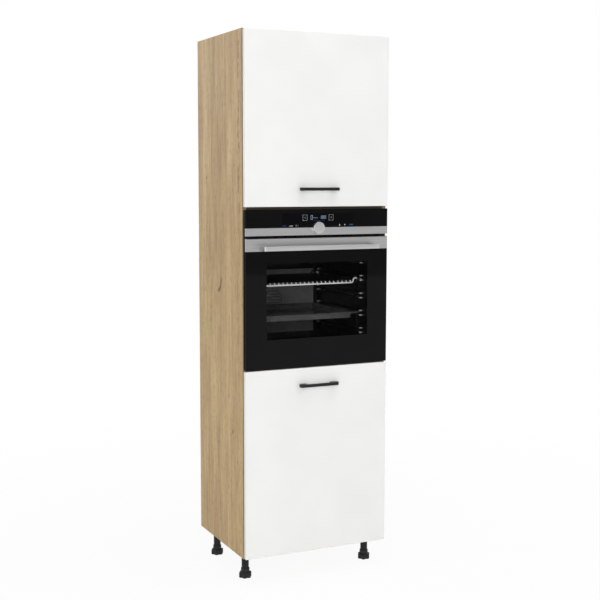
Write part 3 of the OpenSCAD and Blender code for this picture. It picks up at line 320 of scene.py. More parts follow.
# Vitreous enamel, glass frit fired on steel: hard and glossy over a slow ripple, with pale flecks in cells of 4.2 mm. Real
# flecks are 0.2 mm across; the largest of these are 1.3 mm so that they show.
def vitreousEnamel(name, deep, pale, fleck, share, shine=0.12, dullest=0.26):
    made, tree, place = startMaterial(name)
    cloud = grain(tree, place, 26)
    ripple = grain(tree, place, 11, 1.0)
    dots = addNode(tree, "TexVoronoi", {"Vector": place, "Scale": 1000 / 4.2})
    each = addNode(tree, "SeparateXYZ", {"Vector": dots.outputs["Color"]})
    size = addNode(tree, "MapRange", {"Value": each.outputs["X"]}, ends=(0.3, 1.0, 0.0, 0.16))
    inside = addNode(tree, "Math", {0: dots.outputs["Distance"], 1: size}, operation="LESS_THAN")
    some = addNode(tree, "Math", {0: inside, 1: share}, operation="MULTIPLY")
    return finishMaterial(made, (cloud, 0.3, 0.7, deep, pale), (cloud, 0.3, 0.7, shine, dullest), (ripple, 0.06, 0.4),
                          [(some, fleck)], {"Specular IOR Level": 0.3})


# Steel sheet in satin black stove paint: dull, with a low peel of 2 mm.
def blackStovePaint(name):
    made, tree, place = startMaterial(name)
    peel = grain(tree, place, 2.2, 2.0)
    cloud = grain(tree, place, 40, 2.0)
    return finishMaterial(made, (cloud, 0.3, 0.7, "#161616", "#1D1D1D"), (peel, 0.3, 0.7, 0.36, 0.48), (peel, 0.12, 0.1),
                          more={"Specular IOR Level": 0.2})


# Black silicone cord round the oven's mouth: soft and dull, with a bloom of pale dust.
def siliconeSeal(name):
    made, tree, place = startMaterial(name)
    dust = grain(tree, place, 2, 4.0, 0.7)
    return finishMaterial(made, (dust, 0.35, 0.8, "#161616", "#2A2A29"), (dust, 0, 1, 0.5, 0.8), (dust, 0.1, 0.1))


# the wires' zones in metres: the measure, the two places between which a share changes, and the share at each of them
wireZones = {
    "clear": ("aside", 0.2298, 0.2306, 1.0, 0.0), "inner": ("aside", 0.2238, 0.2246, 0.0, 1.0),
    "outer": ("aside", 0.2333, 0.2341, 1.0, 0.0), "middle": ("aside", 0.206, 0.209, 1.0, 0.15),
    "wallSide": ("aside", 0.2383, 0.2387, 0.0, 0.5), "hooks": ("aside", 0.213, 0.215, 0.0, 1.0),
    "rackFront": ("deep", -0.1685, -0.1655, 1.0, 0.0), "ladderFront": ("deep", -0.1655, -0.158, 1.0, 0.0),
    "rear": ("deep", 0.2, 0.202, 0.0, 1.0),
}
# how the zones are put together: the new share, the two it is made from, and how
wireSteps = (
    ("rungs", "inner", "outer", "MULTIPLY"), ("wires", "rungs", "wallSide", "MAXIMUM"), ("spots", "wires", "middle", "MAXIMUM"),
    ("ladder", "inner", "ladderFront", "MULTIPLY"), ("front", "ladder", "rackFront", "MAXIMUM"),
    ("frontGlints", "spots", "front", "MULTIPLY"), ("rearGlints", "rear", "hooks", "MULTIPLY"),
    ("paintedGlints", "frontGlints", "rearGlints", "MAXIMUM"),
)


# Nickel-plated wire coloured with painted light: painted glints, white, at the front ends, along the rack's front bar
# and on the rear hooks, painted shade in dark brown from there inward, and near-black painted shade beside the walls.
def nickelWire(name):
    made, tree, place = startMaterial(name)
    part = addNode(tree, "SeparateXYZ", {"Vector": place})
    aside = addNode(tree, "Math", {0: part.outputs["X"]}, operation="ABSOLUTE")
    measures = {"aside": aside, "deep": part.outputs["Y"]}
    share = {}
    for zone, (measure, *ends) in wireZones.items():
        share[zone] = addNode(tree, "MapRange", {"Value": measures[measure]}, ends=ends)
    for zone, first, second, how in wireSteps:
        share[zone] = addNode(tree, "Math", {0: share[first], 1: share[second]}, operation=how)
    drawn = grain(tree, place, 3)
    # painted glints: this near-white is the colour of the glinting front ends, front bar and rear hooks
    bright = addNode(tree, "ValToRGB", {"Fac": drawn}, [(0.3, "#F8F8F7"), (0.7, "#FDFDFC")])
    # painted shade: the rest of the wire is coloured dark brown
    paintedShadeBrown = addNode(tree, "ValToRGB", {"Fac": drawn}, [(0.3, "#2C2A28"), (0.7, "#3C3A37")])
    # painted shade: beside the walls, where the zone named clear falls to 0, the colour goes near-black
    paintedWallShade = addNode(tree, "MixRGB", {"Fac": share["clear"], "Color1": linear("#161514"), "Color2": paintedShadeBrown})
    colour = addNode(tree, "MixRGB", {"Fac": share["paintedGlints"], "Color1": paintedWallShade, "Color2": bright})
    # the painted glints are made nearly non-metallic so that their white shows
    metal = addNode(tree, "MapRange", {"Value": share["paintedGlints"]}, ends=(0, 1, 0.9, 0.1))
    gloss = addNode(tree, "MapRange", {"Value": drawn}, ends=(0.3, 0.7, 0.26, 0.34))
    bump = addNode(tree, "Bump", {"Height": drawn, "Strength": 0.05, "Distance": 0.05 * mm})
    return endMaterial(made, {"Base Color": colour, "Metallic": metal, "Roughness": gloss, "Normal": bump})


# Heating rods in a nickel-alloy sheath: oxidised to a dull brown-grey with lighter and darker turns.
def oxidisedSheath(name):
    made, tree, place = startMaterial(name)
    scale = grain(tree, place, 5, 4.0, 0.65)
    turns = grain(tree, place, 30, 2.0)
    return finishMaterial(made, (turns, 0.3, 0.7, "#2F2C2A", "#4A4642"), (scale, 0.3, 0.7, 0.45, 0.7), (scale, 0.2, 0.1),
                          more={"Metallic": 0.6})


# Stainless sheet as rolled and pressed: a soft grey shine with short lines along the sheet.
def rolledStainless(name):
    made, tree, place = startMaterial(name)
    rolled = grain(tree, place, (18, 4, 0.8))
    return finishMaterial(made, (rolled, 0.3, 0.7, "#A3A3A3", "#BABABA"), (rolled, 0.3, 0.7, 0.26, 0.4), (rolled, 0.1, 0.05),
                          more={"Metallic": 1.0})


# Brushed stainless steel: long fine scratches along the strip spread its shine upward and downward, the corners are
# polished brighter, and the faces that turn to the sides carry painted shade, a darker grey. Real scratches are 0.05 mm
# apart; these are 0.6 mm so that they show.
def brushedStainless(name, dull, bright):
    made, tree, place = startMaterial(name)
    scratches = grain(tree, place, (70, 0.6, 0.6), 3.0, 0.7)
    sheets = grain(tree, place, (260, 5, 5), 2.0)
    both = addNode(tree, "Mix", {"Factor": 0.45, "A": scratches, "B": sheets})
    edge = addNode(tree, "Attribute", attribute_name="edge").outputs["Fac"]
    polish = addNode(tree, "Math", {0: edge, 1: 0.5}, operation="MULTIPLY")
    # painted shade: faces turned toward either side in x are darkened by their normal
    facing = addNode(tree, "SeparateXYZ", {"Vector": place.node.outputs["Normal"]})
    sideways = addNode(tree, "Math", {0: facing.outputs["X"]}, operation="ABSOLUTE")
    paintedSideShade = addNode(tree, "MapRange", {"Value": sideways}, ends=(0.55, 0.9))
    return finishMaterial(made, (both, 0.32, 0.68, dull, bright), (scratches, 0.3, 0.7, 0.3, 0.44), (scratches, 0.18, 0.05),
                          [(polish, "#DCDCDA"), (paintedSideShade, "#7C7C7A")], {"Metallic": 1.0})


def fromAxis(tree, place, axis):  # how far a point is from an axis that looks along y
    centred = addNode(tree, "Mapping", {"Vector": place, "Location": (-axis[0], 0, -axis[1])})
    flatFace = addNode(tree, "VectorMath", {0: centred, 1: (1, 0, 1)}, operation="MULTIPLY")
    return addNode(tree, "VectorMath", {0: flatFace}, operation="LENGTH").outputs["Value"]


# The dial, turned from stainless steel: the tool leaves rings about its axis, so that its shine fans out. Real rings are
# 0.1 mm apart; these are 0.7 mm so that they show.
def turnedStainless(name, axis):
    made, tree, place = startMaterial(name)
    rings = grain(tree, addNode(tree, "CombineXYZ", {"X": fromAxis(tree, place, axis)}), (0.7, 1, 1), 2.0)
    return finishMaterial(made, (rings, 0.3, 0.7, "#C6C6C5", "#DADAD8"), (rings, 0.3, 0.7, 0.28, 0.42), (rings, 0.15, 0.05),
                          more={"Metallic": 1.0})


# Float glass printed black on its back: a deep black with a hard, almost flat shine and satin ground edges. Inside the window
# the print is left out, as a tinted pane, or is blacker still over a display.
def printedGlass(name, window, alpha=1.0, within="#0C0C0D"):
    made, tree, place = startMaterial(name)
    part = addNode(tree, "SeparateXYZ", {"Vector": place})
    inside = 1.0
    for axis, (low, high) in zip("XZ", window):
        there = addNode(tree, "Math", {0: part.outputs[axis], 1: (low + high) / 2, 2: (high - low) / 2}, operation="COMPARE")
        inside = addNode(tree, "Math", {0: inside, 1: there}, operation="MULTIPLY")
    cloud = grain(tree, place, 90, 2.0)
    waver = grain(tree, place, (220, 220, 35), 1.0)
    edge = addNode(tree, "Attribute", attribute_name="edge").outputs["Fac"]
    more = {"Specular IOR Level": 0.1}
    if alpha < 1:
        more["Alpha"] = addNode(tree, "MapRange", {"Value": inside}, ends=(0, 1, 1.0, alpha))
    return finishMaterial(made, (cloud, 0.3, 0.7, "#0A0A0B", "#0D0D0E"), (edge, 0, 1, 0.035, 0.35), (waver, 0.03, 0.3),
                          [(inside, within), (edge, "#101312")], more)


# The door's inner pane: clear heat-resistant glass with a slight grey tint, faintly smeared.
def clearPane(name):
    made, tree, place = startMaterial(name)
    smear = grain(tree, place, (60, 60, 18))
    return finishMaterial(made, (smear, 0.3, 0.7, "#0C100E", "#121613"), (smear, 0, 1, 0.02, 0.06), (smear, 0.02, 0.2),
                          more={"Alpha": 0.02})


# Pressed lamp glass: milky, with ribs 3 mm apart round its middle that break up the light.
def ribbedLampGlass(name, axis):
    made, tree, place = startMaterial(name)
    turns = addNode(tree, "Math", {0: fromAxis(tree, place, axis), 1: 2 * math.pi / (3 * mm)}, operation="MULTIPLY")
    ribs = addNode(tree, "Math", {0: turns}, operation="SINE")
    milk = grain(tree, place, 6, 2.0)
    return finishMaterial(made, (milk, 0.3, 0.7, "#DDD6C2", "#EFEADB"), (milk, 0, 1, 0.08, 0.22), (ribs, 0.4, 0.4),
                          more={"Alpha": 0.6})


# The display behind the glass: a dark filter film with the faint rows of its cells, 1.5 mm apart.
def displayFilm(name):
    made, tree, place = startMaterial(name)
    part = addNode(tree, "SeparateXYZ", {"Vector": place})
    turns = addNode(tree, "Math", {0: part.outputs["Z"], 1: 2 * math.pi / (1.5 * mm)}, operation="MULTIPLY")
    rows = addNode(tree, "Math", {0: turns}, operation="SINE")
    return finishMaterial(made, (rows, 0, 1, "#0C0D12", "#121521"), (grain(tree, place, 30, 2.0), 0, 1, 0.05, 0.12))


# Ceramic ink screen-printed on glass: flat and slightly grainy, a little thinner in places.
def screenPrint(name, thin, full):
    made, tree, place = startMaterial(name)
    mesh = grain(tree, place, 1.5, 2.0)
    return finishMaterial(made, (mesh, 0.3, 0.7, thin, full), (mesh, 0, 1, 0.35, 0.55))


def middle(lo, hi, a=0, b=2):  # the middle of a box on two axes, seen from the front if no others are named
    return (lo[a] + hi[a]) / 2, (lo[b] + hi[b]) / 2


# the control glass's display and the door's window in metres: from left to right, and from low to high
windows = {"display": ((-0.150, 0.150), (1.357, 1.403)), "door": ((-0.212, 0.212), (0.9325, 1.2165))}

oakUpright = oakMelamine("oakMelamineUpright")
oakAcross = oakMelamine("oakMelamineAcross", True)
oakShadedEdge = oakMelamine("oakMelamineShadedEdge", True, "shade", 0.95)  # its front edges carry painted shade, near-black, for the dark gaps over and under the oven
whiteFront = whiteLacquer("whiteLacqueredMdf")
blackHandle = blackPowderCoat("blackPowderCoatedZinc")
blackPlastic = mouldedPolypropylene("blackMouldedPolypropylene")
stovePaint = blackStovePaint("blackStovePaintedSteel")
mouthSilicone = siliconeSeal("blackSilicone")
wireNickel = nickelWire("nickelPlatedWire")
sheath = oxidisedSheath("oxidisedHeaterSheath")
stripSteel = brushedStainless("brushedStainlessStrip", "#B4B4B4", "#C8C8C8")
barSteel = brushedStainless("brushedStainlessBar", "#C8C8C8", "#DADADA")
dialSteel = turnedStainless("turnedStainless", middle(*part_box("dial_knob")))
controlPane = printedGlass("blackPrintedControlGlass", windows["display"], within="#050507")
doorPane = printedGlass("blackPrintedDoorGlass", windows["door"], 0.02)
innerPane = clearPane("clearOvenGlass")
trayEnamel = vitreousEnamel("greyTrayEnamel", "#474746", "#545453", "#8A8A88", 0.35)
blackEnamel = vitreousEnamel("blackVitreousEnamel", "#101011", "#17171A", "#28282B", 0.2, 0.34, 0.5)  # baked dull by heat
baffleEnamel = vitreousEnamel("greyVitreousEnamel", "#7E7E80", "#8A8A8C", "#A6A6A8", 0.25)
whiteInk = screenPrint("whiteScreenPrint", "#B6B6B6", "#D2D2D2")
blueInk = screenPrint("blueScreenPrint", "#24578E", "#2F6BA6")
litCells = screenPrint("litDisplayCells", "#94A8CC", "#BCCBE8")

finishes = {
    "oak_board": oakUpright, "back_board": printedHardboard("oakPrintedHardboard"), "white_front": whiteFront,
    "black_handle": blackHandle, "zinc_fitting": brightZinc("brightZincPlate"),
    "galvanised_sheet": galvanisedSheet("galvanisedSheet"), "black_plastic": blackPlastic, "black_enamel": blackEnamel,
    "black_sheet": stovePaint, "seal_rubber": mouthSilicone, "wire_steel": wireNickel,
    "fan_steel": rolledStainless("rolledStainless"), "trim_steel": stripSteel, "handle_steel": barSteel,
    "dial_steel": dialSteel, "black_glass": controlPane, "clear_glass": innerPane,
    "lamp_glass": ribbedLampGlass("ribbedLampGlass", middle(*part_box("oven_lamp"))), "display": displayFilm("displayFilm"),
}
ownFinish = {
    "oven_door_glass": doorPane, "fan_baffle": baffleEnamel, "ring_heater": sheath, "grill_element": sheath,
    "oven_fixing_screws": stovePaint, "bottom_panel": oakAcross, "top_panel": oakAcross, "upper_shelf": oakAcross,
    "lower_shelf": oakAcross, "oven_shelf": oakShadedEdge, "niche_top_shelf": oakShadedEdge,
}
slotOf = {sub["node"]: sub["material_slot"] for sub in frame["record"]["subparts"]}
for node, slot in slotOf.items():
    nodes[node].data.materials.clear()
    nodes[node].data.materials.append(ownFinish.get(node, finishes[slot]))
print("materials on", len(slotOf), "nodes")


# Rectangles with rounded corners, one row for each size. A corner is its centre plus its radius in the direction of a quarter
# turn, and two more points on each straight side, near its ends, keep wear near the corners.
def roundedLoops(halfA, halfB, corner, perCorner=6, reach=3 * mm, mostShare=0.3):
    halfA, halfB, corner = (v[:, None, None] for v in np.broadcast_arrays(*np.atleast_1d(halfA, halfB, corner)))
    turn = np.linspace(0, math.pi / 2, perCorner)[None, None, :] + (np.arange(4) * math.pi / 2)[None, :, None]
    a = np.array([1, -1, -1, 1])[None, :, None] * (halfA - corner) + corner * np.cos(turn)
    b = np.array([1, 1, -1, -1])[None, :, None] * (halfB - corner) + corner * np.sin(turn)
    corners = np.stack([a, b], -1)
    start, end = corners[:, :, -1:], np.roll(corners, -1, 1)[:, :, :1]
    along = end - start
    share = np.minimum(mostShare, reach / np.maximum(np.linalg.norm(along, axis=-1, keepdims=True), 1e-9))
    loops = np.concatenate([corners, start + along * share, end - along * share], 2)
    return loops.reshape(len(loops), -1, 2)


# Flat loops carried along an axis: each is set at its own place there, about a centre on the other two axes.
def carried(flat, at, centre, axis=1):
    points = [flat[..., 0] + centre[0], flat[..., 1] + centre[1]]
    points.insert(axis, np.broadcast_to(np.asarray(at)[:, None], points[0].shape))
    return np.stack(points, -1)


# The skin through a stack of loops: quads between neighbours, with both ends capped, or the last loop joined to the first.
def loft(loops, closed=False):
    rows, cols = loops.shape[:2]
    r, c = np.meshgrid(np.arange(rows if closed else rows - 1), np.arange(cols), indexing="ij")
    r2, c2 = (r + 1) % rows, (c + 1) % cols
    quads = np.stack([r * cols + c, r * cols + c2, r2 * cols + c2, r2 * cols + c], -1).reshape(-1, 4).tolist()
    caps = [] if closed else [list(range(cols)), list(range((rows - 1) * cols, rows * cols))]
    return loops.reshape(-1, 3), quads + caps


# A quarter round in steps: how far in, the radius times 1 less sine, and how far along, the radius times 1 less cosine.
def quarter(steps, radius):
    t = np.linspace(0, math.pi / 2, steps)
    return radius * (1 - np.sin(t)), radius * (1 - np.cos(t))


# A thin board that faces the room: a rounded rectangle carried from front to back, drawn in along a quarter round at both
# faces, with one more loop inside each face.
def slab(lo, hi, v, steps=4, insideFace=3 * mm, leastCorner=0.2 * mm):
    front, back = hi[1] - v.get("thick", hi[1] - lo[1]), hi[1]
    inward, along = quarter(steps, v["arris"])
    inner = [v["arris"] + insideFace]
    inset = np.concatenate([inner, inward, inward[::-1], inner])
    deep = np.concatenate([[front], front + along, back - along[::-1], [back]])
    corner = np.maximum(v["corner"] - inset, leastCorner)
    flat = roundedLoops((hi[0] - lo[0]) / 2 - inset, (hi[2] - lo[2]) / 2 - inset, corner)
    return loft(carried(flat, deep, middle(lo, hi)))


def mirrored(half, sign=1):  # stations from one end to the middle, and the same ones back
    return np.concatenate([half, sign * np.asarray(half)[::-1]])


# A bar along x: at each x a rounded rectangle that stands from near to far in front of the face.
def barLoft(x, near, far, halfHigh, rounding, face, z):
    flat = roundedLoops((far - near) / 2, halfHigh, rounding) * (-1, 1)
    return loft(carried(flat, x, (face - (near + far)[:, None] / 2, z), 0))


# A turned form about y: radius times cosine and sine at each depth of the profile; rim changes the radius round the turn.
def turned(radius, deep, centre, around=144, rim=None):
    t = np.linspace(0, 2 * math.pi, around, endpoint=False)
    r = np.asarray(radius)[:, None] + (rim(t) if rim else 0 * t)
    return loft(carried(np.stack([r * np.cos(t), r * np.sin(t)], -1), deep, centre))


# A path whose inner corners become short curves: (1-t)^2 of the point before, 2t(1-t) of the corner, t^2 of the point after.
def softPath(path, radius, steps=6):
    path = np.asarray(path, float)
    corner = path[1:-1]
    before, after = (corner + (p - corner) * (radius / np.linalg.norm(p - corner, axis=1, keepdims=True))
                     for p in (path[:-2], path[2:]))
    t = np.linspace(0, 1, steps)[None, :, None]
    curve = (1 - t) ** 2 * before[:, None] + 2 * t * (1 - t) * corner[:, None] + t ** 2 * after[:, None]
    return np.concatenate([path[:1], curve.reshape(-1, 3), path[-1:]])


# A wire: a circle carried along a path that lies across one axis, spanned by that axis and its cross product with the way.
def wire(path, radius, axis, around):
    path, axis = np.asarray(path, float), np.asarray(axis, float)
    way = np.gradient(path, axis=0)
    way /= np.linalg.norm(way, axis=1, keepdims=True)
    side = np.cross(axis, way)
    t = np.linspace(0, 2 * math.pi, around, endpoint=False)[None, :, None]
    return loft(path[:, None] + radius * (np.cos(t) * axis + np.sin(t) * side[:, None]))


def together(*parts):  # several skins as one: the points in a row, and each skin's faces counted on from the points before it
    points, faces, count = [], [], 0
    for p, f in parts:
        points.append(p)
        faces += [[i + count for i in face] for face in f]
        count += len(p)
    return np.concatenate(points), faces


# Where wear shows: how far the faces at each point turn from each other, as 1 less the length of their mean normal.
def markEdges(mesh, gain=80):
    at, sizes = np.zeros(len(mesh.loops), int), np.zeros(len(mesh.polygons), int)
    normals = np.zeros(len(mesh.polygons) * 3)
    mesh.loops.foreach_get("vertex_index", at)
    mesh.polygons.foreach_get("loop_total", sizes)
    mesh.polygons.foreach_get("normal", normals)
    total = np.zeros((len(mesh.vertices), 3))
    np.add.at(total, at, np.repeat(normals.reshape(-1, 3), sizes, axis=0))
    mean = total / np.maximum(np.bincount(at, minlength=len(total)), 1)[:, None]
    spread = np.clip((1 - np.linalg.norm(mean, axis=1)) * gain, 0, 1)
    mesh.attributes.new("edge", "FLOAT", "POINT").data.foreach_set("value", spread)


# Makes a skin a piece: merges its poles, turns its faces outward, shades it smooth up to an angle, and rides it on its body.
def addPiece(name, skin, finish, body, stands=(), smooth=32):
    points, faces = skin
    mesh = bpy.data.meshes.new(name)
    mesh.from_pydata(np.asarray(points, float).tolist(), [], faces)
    work = bmesh.new()
    work.from_mesh(mesh)
    bmesh.ops.remove_doubles(work, verts=work.verts, dist=1e-7)
    bmesh.ops.recalc_face_normals(work, faces=work.faces)
    work.to_mesh(mesh)
    work.free()
    markEdges(mesh)
    mesh.polygons.foreach_set("use_smooth", np.ones(len(mesh.polygons), bool))
    mesh.set_sharp_from_angle(angle=math.radians(smooth))
    mesh.materials.append(finish)
    made = addObject(name, mesh)
    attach(made, body)
    if stands:
        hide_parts(*stands)


def standIn(name, node, skinOf, v, finish, body, smooth=32):  # a finer skin in a node's box, which stands in its place
    addPiece(name, skinOf(*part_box(node), v), finish, body, [node], smooth)


# A copy of a node, merged into flats, with a small arris of two steps; its top edge may be let down.
def softened(name, node, body, width, drop=0.0, flatAngle=1, cornerAngle=35, topBand=0.5 * mm):
    work = bmesh.new()
    work.from_mesh(nodes[node].data)
    bmesh.ops.remove_doubles(work, verts=work.verts, dist=1e-6)
    bmesh.ops.dissolve_limit(work, angle_limit=math.radians(flatAngle), verts=work.verts, edges=work.edges)
    mesh = bpy.data.meshes.new(name)
    work.to_mesh(mesh)
    work.free()
    at = np.zeros(len(mesh.vertices) * 3)
    mesh.vertices.foreach_get("co", at)
    level = at.reshape(-1, 3)[:, 2]
    level[level > level.max() - topBand] -= drop
    mesh.vertices.foreach_set("co", at)
    mesh.materials.append(nodes[node].data.materials[0])
    made = addObject(name, mesh)
    arris = made.modifiers.new("arris", "BEVEL")
    arris.width, arris.segments = width, 2
    arris.limit_method, arris.angle_limit = "ANGLE", math.radians(cornerAngle)
    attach(made, body)
    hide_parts(node)


# the boards' banded edges, and the steel and glass strips, are broken by hand or machine rather than razor sharp
arrises = {
    "boards": {"side_panel_left": "leftSide", "side_panel_right": "rightSide", "bottom_panel": "bottomBoard",
               "top_panel": "topBoard", "oven_shelf": "ovenShelfBoard", "niche_top_shelf": "nicheTopBoard",
               "upper_shelf": "upperLooseShelf", "lower_shelf": "lowerLooseShelf"},
    "strips": {"control_trim": "controlStrip", "control_glass": "controlPane"},
    "boardWidth": 0.6 * mm, "stripWidth": 0.35 * mm, "airSlot": 3.2 * mm,
}
for kind, width in (("boards", arrises["boardWidth"]), ("strips", arrises["stripWidth"])):
    for node, name in arrises[kind].items():
        softened(name, node, "carcass", width)
softened("ovenDoorStrip", "oven_door_trim", "oven_door", arrises["stripWidth"], arrises["airSlot"])  # a wider slot over it
print("edges broken on", len(arrises["boards"]) + len(arrises["strips"]) + 1, "pieces")

# the two white fronts, with the small rounding that lacquer gives their edges
whiteSlab = {"corner": 1.6 * mm, "arris": 1.2 * mm}
for which in ("upper", "lower"):
    standIn(which + "DoorFront", which + "_door_panel", slab, whiteSlab, whiteFront, which + "_door")

# the black bar handles: wide feet that slope into a flat bar, cut off aslant behind and before each tip
barHandle = {
    "foot": 30 * mm, "slope": 4 * mm, "step": 0.02 * mm, "bend": 5 * mm, "bar": 9 * mm, "round": 1.6 * mm,
    "cut": 8 * mm, "tip": 7 * mm, "tipIn": 0.4 * mm, "tipOut": 0.5 * mm, "tipLow": 1.0 * mm,
}


# Stations from the tip inward and their mirror: how near the face and how far from it the bar stands at each.
def handleSkin(lo, hi, v):
    end, out, cut = hi[0], hi[1] - lo[1], v["cut"]
    inner, back = end - v["foot"], out - v["bar"]
    x = [end, end - v["tipIn"], end - v["tip"], end - cut, inner, inner - v["step"], inner - v["slope"]]
    near = [cut + v["tipOut"], cut - v["tipIn"], cut - v["tip"], 0, 0, back - v["bend"], back]
    far = [out - cut - v["tipOut"], out - cut + v["tipIn"]] + [out] * 5
    half = np.array([-v["tipLow"]] + [0] * 6) + (hi[2] - lo[2]) / 2
    return barLoft(mirrored(x, -1), mirrored(near), mirrored(far), mirrored(half), v["round"], hi[1], middle(lo, hi)[1])


for which in ("upper", "lower"):
    standIn(which + "DoorHandle", which + "_door_handle", handleSkin, barHandle, blackHandle, which + "_door")

# the oven's steel handle: a square bar with a foot turned back at each end
ovenBar = {"bar": 11 * mm, "foot": 14 * mm, "footSoft": 0.6 * mm, "step": 0.01 * mm, "end": 3 * mm, "endSteps": 6,
           "round": 1.2 * mm}


# Stations from the end inward: the front corner follows a quarter round, then comes the foot, then the bar.
def ovenHandleSkin(lo, hi, v):
    end, out, steps = hi[0], hi[1] - lo[1], v["endSteps"]
    inner = end - v["foot"]
    inward, along = quarter(steps, v["end"])
    x = np.concatenate([end - along, [inner + v["footSoft"], inner, inner - v["step"]]])
    near = np.concatenate([np.zeros(steps + 2), [out - v["bar"]]])
    far = np.concatenate([out - inward, [out] * 3])
    return barLoft(mirrored(x, -1), mirrored(near), mirrored(far), (hi[2] - lo[2]) / 2, v["round"], hi[1], middle(lo, hi)[1])


standIn("ovenDoorHandle", "oven_handle", ovenHandleSkin, ovenBar, barSteel, "oven_door")

# the dial: a crowned face, a fine grip round the rim, a stepped back, and its shaft
dial = {
    "round": 1.3 * mm, "crown": 0.35 * mm, "teeth": 90, "tooth": 0.12 * mm, "thick": 11 * mm, "around": 360,
    "backStep": 0.6 * mm, "backIn": 1.4 * mm, "shaft": 3.0 * mm, "shaftIn": 0.5 * mm, "shaftAround": 32,
}


# The profile from the middle of the face to the back: the crown falls with the square of the radius, and the grip is a cosine
# round the side.
def dialSkins(lo, hi, v):
    r, centre, rear = (hi[0] - lo[0]) / 2, middle(lo, hi), lo[1] + v["thick"]
    faceR = np.linspace(0, r - v["round"], 7)[:-1]
    inward, along = quarter(5, v["round"])
    rim = lo[1] + v["crown"]
    profileY = np.concatenate([lo[1] + v["crown"] * (faceR / r) ** 2, rim + along])
    side = turned(np.concatenate([faceR, r - inward]), profileY, centre, v["around"])
    gripY = np.linspace(rim + v["round"], rear - v["backStep"], 4)
    teeth = turned([r - v["tooth"]] * 4, gripY, centre, v["around"], lambda t: v["tooth"] * np.cos(v["teeth"] * t))
    inner = r - v["backIn"]
    back = turned([r - v["backStep"], inner, inner], [rear - 2 * v["backStep"], rear - v["backStep"], rear], centre)
    shaft = turned([v["shaft"]] * 2, [rear - v["shaftIn"], hi[1]], centre, v["shaftAround"])
    return together(side, teeth, back, shaft)


standIn("turnedDial", "dial_knob", dialSkins, dial, dialSteel, "dial", 25)

# the oven door's outer pane, and its inner pane, which meets the seal
outerPane = {"corner": 1.0 * mm, "arris": 0.6 * mm}
sealPane = {"corner": 4 * mm, "arris": 0.5 * mm, "thick": 3.2 * mm}
standIn("ovenDoorPane", "oven_door_glass", slab, outerPane, doorPane, "oven_door")
standIn("ovenInnerPane", "oven_inner_glass", slab, sealPane, innerPane, "oven_door")
print("fronts, handles, dial and panes made")

# touch marks and lit figures: short round-ended strokes on the control glass, all in mm. Bars go from one x to another at a
# height over the marks' row or the display's middle, uprights stand at an x from one height to another, rings have an x and a
# radius, and dashes are so long and so far apart.
marks = {
    "thick": 0.05, "row": 1356.5, "display": 1386,
    "wide": {"frame": 0.7, "white": 1.0, "blue": 1.1, "cells": 1.2, "dot": 4.4},
    "bracket": {"halfWide": 8.8, "halfHigh": 10.5, "stub": 6.8}, "arrow": {"tail": 1.5, "tip": 2, "halfHigh": 3},
    "frames": ((-55, -1), (54, 1)), "rings": ((-91, 2.8), (-83.5, 1.6)), "whiteBars": ((-119, -106, 0), (-119, -106, -1.6)),
    "power": ((90.5, 1.5, 4.8),), "dots": ((90.5, 0, 0.01), (112.5, 1.2, 1.3)),
    "blueBars": ((-147, -133, 0), (133, 147, 0), (133, 147, 2.2)),
    "scale": {"first": -22, "long": 1.2, "apart": 5.2, "count": 10, "up": -11.5},
    "dashes": {"first": -19.5, "long": 4, "apart": 7, "count": 3, "up": -1},
    "figures": (("0", -30.5, -7, 15), ("180", 7.5, -4.5, 11)), "figureWide": 0.9, "figureApart": 1.75,
}
segments = {"a": ((0, 2), (1, 2)), "b": ((1, 2), (1, 1)), "c": ((1, 1), (1, 0)), "d": ((0, 0), (1, 0)), "e": ((0, 1), (0, 0)),
            "f": ((0, 2), (0, 1)), "g": ((0, 1), (1, 1))}
digits = {"0": "abcdef", "1": "bc", "8": "abcdefg"}


# Each stroke is an outline about its line, with half a turn of its half width round both ends, pushed forward by its thickness.
def strokes(lines, width, face, thick, capSteps=5):
    skins = []
    t = np.linspace(-math.pi / 2, math.pi / 2, capSteps)
    for a, b in np.array(lines, float) * mm:
        turn = math.atan2(*(b - a)[::-1])
        cap = width * mm / 2 * np.stack([np.cos(t + turn), np.sin(t + turn)], 1)
        outline = np.concatenate([b + cap, a - cap])
        skins.append(loft(carried(np.stack([outline] * 2), [face, face - thick * mm], (0, 0))))
    return skins


def barLines(bars, z):  # level strokes, each from one x to another, at its height over z
    return [((x0, z + up), (x1, z + up)) for x0, x1, up in bars]


def uprightLines(uprights, z):  # upright strokes, each at its x, from one height over z to another
    return [((x, z + low), (x, z + high)) for x, low, high in uprights]


def dashLines(v, z):  # a row of level strokes: the first x plus the distance apart times 0, 1, 2 and so on
    starts = [v["first"] + k * v["apart"] for k in range(v["count"])]
    return barLines([(x, x + v["long"], v["up"]) for x in starts], z)


def figureLines(text, x, z, high, v):  # the strokes of seven-part figures, so high from foot to head
    unit, lines = high / 2, []
    for letter in text:
        lines += [tuple((x + p * unit * v["figureWide"], z + q * unit) for p, q in segments[s]) for s in digits[letter]]
        x += unit * v["figureApart"]
    return lines


def ringLines(x, z, r, n=12):  # a circle in n strokes, between its radius times cosine and sine at equal turns
    t = np.linspace(0, 2 * math.pi, n + 1)
    ring = np.stack([x + r * np.cos(t), z + r * np.sin(t)], 1)
    return list(zip(ring[:-1], ring[1:]))


def bracketLines(x, z, v):  # the two sides of a box, each with a short stub at its head and foot
    a, b = v["halfWide"], v["halfHigh"]
    sides = [((x + s * a, z - b), (x + s * a, z + b)) for s in (-1, 1)]
    return sides + [((x + s * a, z + t * b), (x + s * (a - v["stub"]), z + t * b)) for s in (-1, 1) for t in (-1, 1)]


def arrowLines(x, z, way, v):  # two strokes that meet at the tip, one from above its tail and one from below
    tip, tail = (x + way * v["tip"], z), x - way * v["tail"]
    return [((tail, z + v["halfHigh"]), tip), (tip, (tail, z - v["halfHigh"]))]


